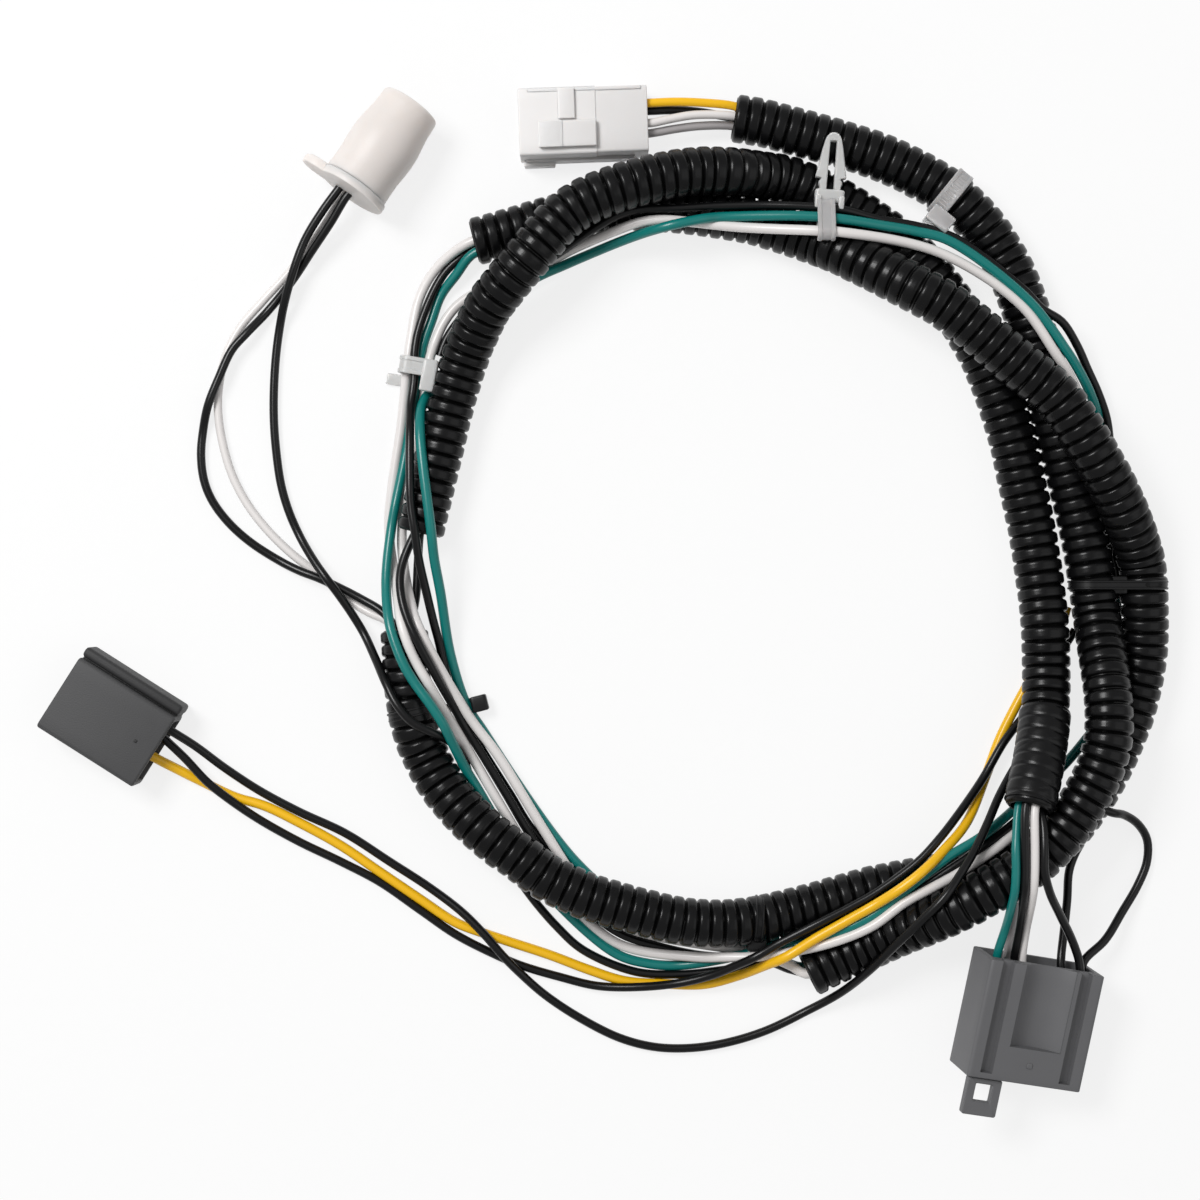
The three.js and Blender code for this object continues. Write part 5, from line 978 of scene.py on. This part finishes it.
lever_pad = block_sheet(7.2, 6.6, 0.5, corner=0.2, edge=0.2, x=3.9, y=-9.0, z=WHITE["height"] + 1.45)
make_piece("latch_housing_shell", [white_shell, lower_skirt, skirt_foot, cross_rail, side_rib], white_finish,
           nodes=["latch_housing"], place=WHITE_PLACE)
make_piece("latch_lever_arm", [lever, lever_pad], white_finish, nodes=["latch_lever"],
           place=WHITE_PLACE)
print("white housing length in mm:", WHITE["length"])

# %% [markdown]
# ## Black plug
# A three-way plug in a dull black plastic with a fine moulded grain. A guide rail stands along one long side
# behind a narrow groove, and a small gate mark sits near the wire end. Groove, rail and gate mark are blocks
# of their own, with a low rise that mixes in the finish's painted shade colour: painted shadow in the groove,
# painted shade on the rail and on the gate mark.

# %% Black plug housing
BLACK = {"width": 22.5, "length": 31.1, "height": 13.0, "corner": 1.4, "wall": 1.8, "floor": 1.8, "roof": 1.8,
         "cavity": 14.0, "pocket": 8.0}
BLACK_PLACE = {"x": -134.8, "y": -33.3, "z": REST_GAP, "yaw": -122.4}

# The inner colour is painted shade, for the groove, the rail and the gate mark.
black_finish = plastic("black_textured_moulding", screen_colour(66, 66, 67), 0.62, cloud=(260.0, 0.12),
                       grain=(2600.0, 0.30), inner=screen_colour(20, 20, 21))
mouth, front, back, tail = shell_stations(BLACK, edge=0.7)
plug_shell = surface(carried(mouth + front + back + tail), caps=True)
rail_x = -BLACK["width"] / 2 - 1.9
# Painted shade: the rail's rise of 0.35 darkens it as a side in shade, the groove's rise of 0 makes it a
# painted shadow, and the gate mark's rise of 0.1 paints it as a shaded dimple.
guide_rail = block_sheet(3.0, BLACK["length"], 11.6, corner=1.2, edge=0.9, x=rail_x, rise=0.35)
groove_painted_shadow = block_sheet(2.6, 30.4, 9.4, corner=0.3, x=rail_x + 1.4, rise=0.0)
gate_mark = block_sheet(0.9, 0.9, 0.3, corner=0.3, edge=0.15, y=9.7, z=BLACK["height"] - 0.15, rise=0.1)
make_piece("plug_housing_shell", [plug_shell, guide_rail, groove_painted_shadow, gate_mark], black_finish,
           nodes=["plug_housing"], place=BLACK_PLACE)
print("plug length in mm:", BLACK["length"])

# %% [markdown]
# ## Round socket
# The lamp socket is a soft, milky moulding that swells towards its base and ends in an eared flange. It
# lies on its side, so its axis is the Y of its own frame. Its body is a surface of revolution. The flange's
# outline is a circle that runs out into an ear, which a radius that depends on the angle can say.

# %% Milky socket
SOCKET_PLACE = {"x": -51.8, "y": 135.6, "z": 8.8, "yaw": 146.1, "pitch": 6.0}
SOCKET_LENGTH = 29.6
FLANGE_THICKNESS = 2.5
FLANGE_RADIUS = 10.0
EAR_REACH, EAR_HALF_WIDTH = 11.2, 4.6
# From the wall behind the cavity, round the mouth and back outside, as (distance from the mouth, radius)
SOCKET_PROFILE = np.array([
    (16.0, 0.4), (16.0, 6.9), (0.5, 6.9), (0.1, 7.1), (0.0, 7.6), (0.1, 8.2), (0.6, 8.5), (2.5, 8.62),
    (5.0, 8.7), (8.0, 9.15), (11.0, 9.6), (14.0, 9.75), (17.0, 9.6), (20.0, 9.35), (23.0, 9.3),
    (26.0, 9.4), (28.2, 9.45), (28.2, 0.4)])
SOCKET_SIDES, FLANGE_SIDES = 72, 144
INNER_EDGE = 0.4


def flange_radius(angle):
    """Distance to the flange's edge: a circle, or where it reaches further, an ear along X with straight
    sides and a round end, whose middle lies at the ear's reach."""
    across = EAR_REACH * np.sin(angle)
    round_end = EAR_REACH * np.cos(angle) + np.sqrt(np.maximum(EAR_HALF_WIDTH**2 - across**2, 0))
    straight_side = EAR_HALF_WIDTH / np.maximum(np.abs(np.sin(angle)), 1e-6)
    ear = np.where(np.abs(across) < EAR_HALF_WIDTH, round_end, straight_side)
    return np.maximum(FLANGE_RADIUS, np.where(np.cos(angle) > 0, ear, 0))


def turned(distance, radius, angles):
    """Grid round the Y axis: each row stands at its distance, with one radius or one for each angle."""
    radius = np.broadcast_to(radius, (len(distance), len(angles)))
    level = np.broadcast_to(np.reshape(distance, (-1, 1)), radius.shape)
    return np.stack([radius * np.cos(angles), level, radius * np.sin(angles)], axis=-1)


body = turned(SOCKET_PROFILE[:, 0], SOCKET_PROFILE[:, 1:], around(SOCKET_SIDES))
plan = flange_radius(around(FLANGE_SIDES))
flange_back = SOCKET_LENGTH - FLANGE_THICKNESS
# Flange outline drawn in near both faces, as (distance from its back face, how far the edge is drawn in)
FLANGE_EDGE = [(0.0, 0.6), (0.25, 0.15), (0.6, 0.0), (2.1, 0.0), (2.4, 0.15), (FLANGE_THICKNESS, 0.5)]
levels = [flange_back, *[flange_back + level for level, _ in FLANGE_EDGE], SOCKET_LENGTH, flange_back]
reaches = [np.full(FLANGE_SIDES, 9.2), *[plan - draw for _, draw in FLANGE_EDGE],
           np.full(FLANGE_SIDES, INNER_EDGE), np.full(FLANGE_SIDES, INNER_EDGE)]
flange = turned(levels, np.array(reaches), around(FLANGE_SIDES))

milky_finish = plastic("milky_nylon_moulding", screen_colour(222, 216, 212), 0.45, cloud=(60.0, 0.08),
                       grain=(1500.0, 0.08), depth=2.5)
make_piece("socket_body_turned", [surface(body[::-1], caps=True), surface(flange, close_rows=True)],
           milky_finish, nodes=["socket_body"], place=SOCKET_PLACE)
print("socket length in mm:", SOCKET_LENGTH)

# %% [markdown]
# ## Ties
# A nylon tie is a toothed strap pulled through a ratchet head. The strap here is a small rounded section
# carried round a loop, with the teeth as a fine wave in a channel along its middle, where they can be seen.
# Heads and strap ends are moulded blocks. Black ties are dyed nylon, and the natural ones let some light
# through, so the wires tint them.

# %% Tie shapes
STRAP_WIDTH, STRAP_THICKNESS, STRAP_BEVEL = 4.8, 0.9, 0.2
STRAP_STEP = 0.24
CHANNEL_SHARE, CHANNEL_DEPTH, CHANNEL_SLOPE = 0.56, 0.28, 0.15
TOOTH_PITCH, TOOTH_HEIGHT = 0.95, 0.26


def rounded_loop(width, height, corner, count):
    """Places and outward directions round a rounded rectangle, evenly spaced along it: straight sides joined
    by quarter circles, and outward is the forward direction turned by a right angle."""
    bend = np.linspace(0, math.pi / 2, 13)
    x, z = width / 2 - corner, height / 2 - corner
    corners = []
    for middle_x, middle_z, start in ((x, z, 0), (-x, z, 0.5), (-x, -z, 1), (x, -z, 1.5)):
        angle = bend + start * math.pi
        corners.append(np.array([middle_x, middle_z])
                       + corner * np.column_stack([np.cos(angle), np.sin(angle)]))
    outline = np.vstack([*corners, corners[0][:1]])
    run = along(outline)
    wanted = np.linspace(0, run[-1], count, endpoint=False)
    places = np.stack([np.interp(wanted, run, outline[:, axis]) for axis in range(2)], axis=1)
    forward = np.roll(places, -1, axis=0) - np.roll(places, 1, axis=0)
    forward /= np.linalg.norm(forward, axis=1, keepdims=True)
    return places, np.stack([forward[:, 1], -forward[:, 0]], axis=1), wanted


def strap_sheet(width, height, corner, toothed=True, strap=STRAP_WIDTH, shift=(0.0, 0.0)):
    """A strap loop: for each place on the loop, a section of (height above the loop, place across the strap).
    The channel's two middle rows rise and fall by a saw wave of the tooth pitch. Shift moves the loop."""
    places, outward, run = rounded_loop(width, height, corner, int(2 * (width + height) / STRAP_STEP))
    half, deep = strap / 2, STRAP_THICKNESS
    rim = half * CHANNEL_SHARE
    side = np.array([(0.0, half - STRAP_BEVEL), (STRAP_BEVEL, half), (deep - STRAP_BEVEL, half),
                     (deep, half - STRAP_BEVEL), (deep, rim), (deep - CHANNEL_DEPTH, rim - CHANNEL_SLOPE)])
    section = np.vstack([side * [1, -1], side[::-1]])
    lift = np.tile(section[:, 0], (len(places), 1))
    if toothed:
        lift[:, 5:7] += TOOTH_HEIGHT * ((run / TOOTH_PITCH) % 1.0)[:, None]
    plan = places[:, None] + outward[:, None] * lift[..., None] + np.array(shift)
    across = np.broadcast_to(section[:, 1], lift.shape)
    return surface(np.stack([plan[..., 0], across, plan[..., 1]], axis=-1), close_rows=True)


# A block of a tie is (width, length, height, x, y, z) in the frame of its loop
TIES = [
    {"node": "tie_push_mount", "loop": (10.5, 3.3, 1.4), "finish": "clear", "toothed": False,
     "place": {"x": 61.2, "y": 103.0, "z": 17.9, "yaw": -90.0, "roll": -20.0}},
    {"node": "tie_conduit_inner", "loop": (12.9, 12.9, 6.4), "finish": "clear",
     "blocks": [(5.0, 7.2, 9.0, 7.9, 2.1, -2.4)], "place": {"x": 96.1, "y": 111.4, "z": 7.95, "yaw": -129.0}},
    {"node": "tie_trunk_left", "loop": (8.9, 4.9, 1.6), "finish": "natural", "toothed": False,
     "blocks": [(4.1, 8.8, 3.4, 3.8, -2.2, 2.9), (5.2, 3.2, 1.1, -5.7, -4.4, -3.4)],
     "place": {"x": -50.3, "y": 64.4, "z": 3.6, "yaw": -10.0}},
    {"node": "tie_trunk_conduit", "loop": (11.7, 11.7, 5.8), "finish": "black", "strap": 2.5,
     "toothed": False, "shift": (-7.1, -1.5),
     "blocks": [(17.0, 2.5, 0.9, 2.0, -1.6, -9.25), (4.6, 4.4, 4.6, 11.3, -2.4, -9.25)],
     "place": {"x": -44.9, "y": -29.1, "z": 9.3, "yaw": 14.4}},
    {"node": "tie_lower_run", "loop": (11.7, 11.7, 5.8), "finish": "black", "strap": 2.5,
     "toothed": False, "shift": (-4.8, 0.0), "blocks": [(4.0, 5.2, 6.0, 1.8, -0.2, -3.0)],
     "place": {"x": 43.3, "y": -92.5, "z": 8.05, "yaw": -93.0}},
    {"node": "tie_conduit_pair", "loop": (25.8, 11.7, 5.8), "finish": "black", "strap": 2.5,
     "toothed": False, "blocks": [(4.8, 4.9, 8.0, -0.3, 0.0, -4.0)],
     "place": {"x": 142.2, "y": 4.1, "z": 7.85, "yaw": 0.0}},
]
tie_finishes = {
    "natural": plastic("natural_nylon", screen_colour(216, 216, 215), 0.34, cloud=(150.0, 0.04),
                       grain=(2000.0, 0.05), depth=0.9, clear=0.25),
    "clear": plastic("clear_nylon", screen_colour(222, 220, 220), 0.34, cloud=(150.0, 0.04),
                     grain=(2000.0, 0.05), depth=0.9, clear=0.5),
    "black": plastic("black_nylon", screen_colour(17, 17, 18), 0.36, cloud=(150.0, 0.1), grain=(2000.0, 0.05),
                     gloss=0.35),
}

# %% Place the ties
for tie in TIES:
    sheets = [strap_sheet(*tie["loop"], toothed=tie.get("toothed", True),
                          strap=tie.get("strap", STRAP_WIDTH), shift=tie.get("shift", (0.0, 0.0)))]
    for width, length, height, x, y, z in tie.get("blocks", ()):
        edge = min(0.5, height / 3)
        sheets.append(block_sheet(width, length, height, corner=0.7, edge=edge, x=x, y=y, z=z))
    make_piece(f"{tie['node']}_strap", sheets, tie_finishes[tie["finish"]], nodes=[tie["node"]],
               place=tie["place"])
print("ties:", len(TIES))

# %% [markdown]
# ## Push mount
# The mount snaps into a round hole in a panel: two springy legs meet at the tip, flare out to a barb and sit
# on a collar that the tie runs through. Each leg is a flat bar, so the mount is a section carried up one leg
# and down the other, between an inner and an outer edge.

# %% Push mount
MOUNT_PLACE = {"x": 62.3, "y": 109.4, "z": 13.2, "yaw": -4.5}
# Right half of the legs from the collar to the tip as (height, outer half width, inner half width)
LEG = np.array([
    (1.6, 2.8, 1.0), (2.9, 2.9, 1.0), (3.6, 3.2, 1.0), (4.3, 3.15, 1.0), (4.8, 2.65, 1.0), (5.2, 2.7, 1.0),
    (5.35, 4.1, 0.99), (5.6, 4.18, 0.99), (8.0, 3.72, 0.97), (10.4, 3.32, 0.95), (13.4, 2.76, 0.93),
    (16.0, 2.1, 0.9), (16.7, 1.75, 0.7), (17.3, 1.15, 0.35), (17.6, 0.45, 0.1)])
LEG_INNER_TOP = 15.3
MOUNT_THICKNESS = 3.0


def leg_sheet():
    """Both legs as one bar. The outer edge runs up the right side and down the left. The inner edge does too,
    but stays below the slot's top. The section is a rectangle with small bevels between the two edges."""
    right_out = np.stack([LEG[:, 1], LEG[:, 0]], axis=1)
    right_in = np.stack([LEG[:, 2], np.minimum(LEG[:, 0], LEG_INNER_TOP)], axis=1)
    mirror = np.array([-1.0, 1.0])
    outer = np.vstack([right_out, right_out[::-1] * mirror])
    inner = np.vstack([right_in, right_in[::-1] * mirror])
    bevel = 0.12
    section = [(0.0, bevel), (bevel, 0.0), (1 - bevel, 0.0), (1.0, bevel), (1.0, 1 - bevel), (1 - bevel, 1.0),
               (bevel, 1.0), (0.0, 1 - bevel)]
    rows = [np.column_stack([inner + (outer - inner) * share, np.full(len(outer), level * MOUNT_THICKNESS)])
            for share, level in section]
    return surface(np.stack(rows, axis=1), caps=True)


collar = block_sheet(8.0, 3.7, 4.2, corner=0.9, edge=0.5, y=0.15, z=-0.4)
lugs = [block_sheet(1.6, 3.6, 4.6, edge=0.4, x=x, y=-1.6, z=0.4) for x in (-3.2, 3.2)]
make_piece("push_mount_legs", [leg_sheet(), collar, *lugs], tie_finishes["natural"], nodes=["push_mount"],
           place=MOUNT_PLACE)
print("mount thickness in mm:", MOUNT_THICKNESS)

# %% [markdown]
# ## What stays from the CAD
# The crimp terminals, the terminal lock and the socket's contact carrier are plain machined or moulded forms
# deep inside the housings, so their CAD meshes stay and only get their finishes.

# %% Finishes for the carried-over nodes
tin_finish = plastic("tinned_brass", (0.62, 0.60, 0.56, 1.0), 0.28, cloud=(400.0, 0.08), grain=(3000.0, 0.05))
tin_finish.node_tree.nodes["Principled BSDF"].inputs["Metallic"].default_value = 1.0
charcoal_finish = plastic("charcoal_moulding", screen_colour(44, 44, 46), 0.6, cloud=(200.0, 0.1),
                          grain=(2600.0, 0.15))


def dress(node, material):
    """Give a CAD node its finish by setting the material of each of its slots."""
    part = bpy.data.objects[node]
    if not part.material_slots:
        part.data.materials.append(material)
    for holder in part.material_slots:
        holder.material = material


TERMINALS = [f"{owner}_terminal_{number}" for owner, count in (("body", 7), ("latch", 4), ("plug", 3))
             for number in range(1, count + 1)]
for node in TERMINALS:
    dress(node, tin_finish)
dress("body_terminal_lock", milky_finish)
dress("socket_contact_carrier", charcoal_finish)
print("terminals:", len(TERMINALS))
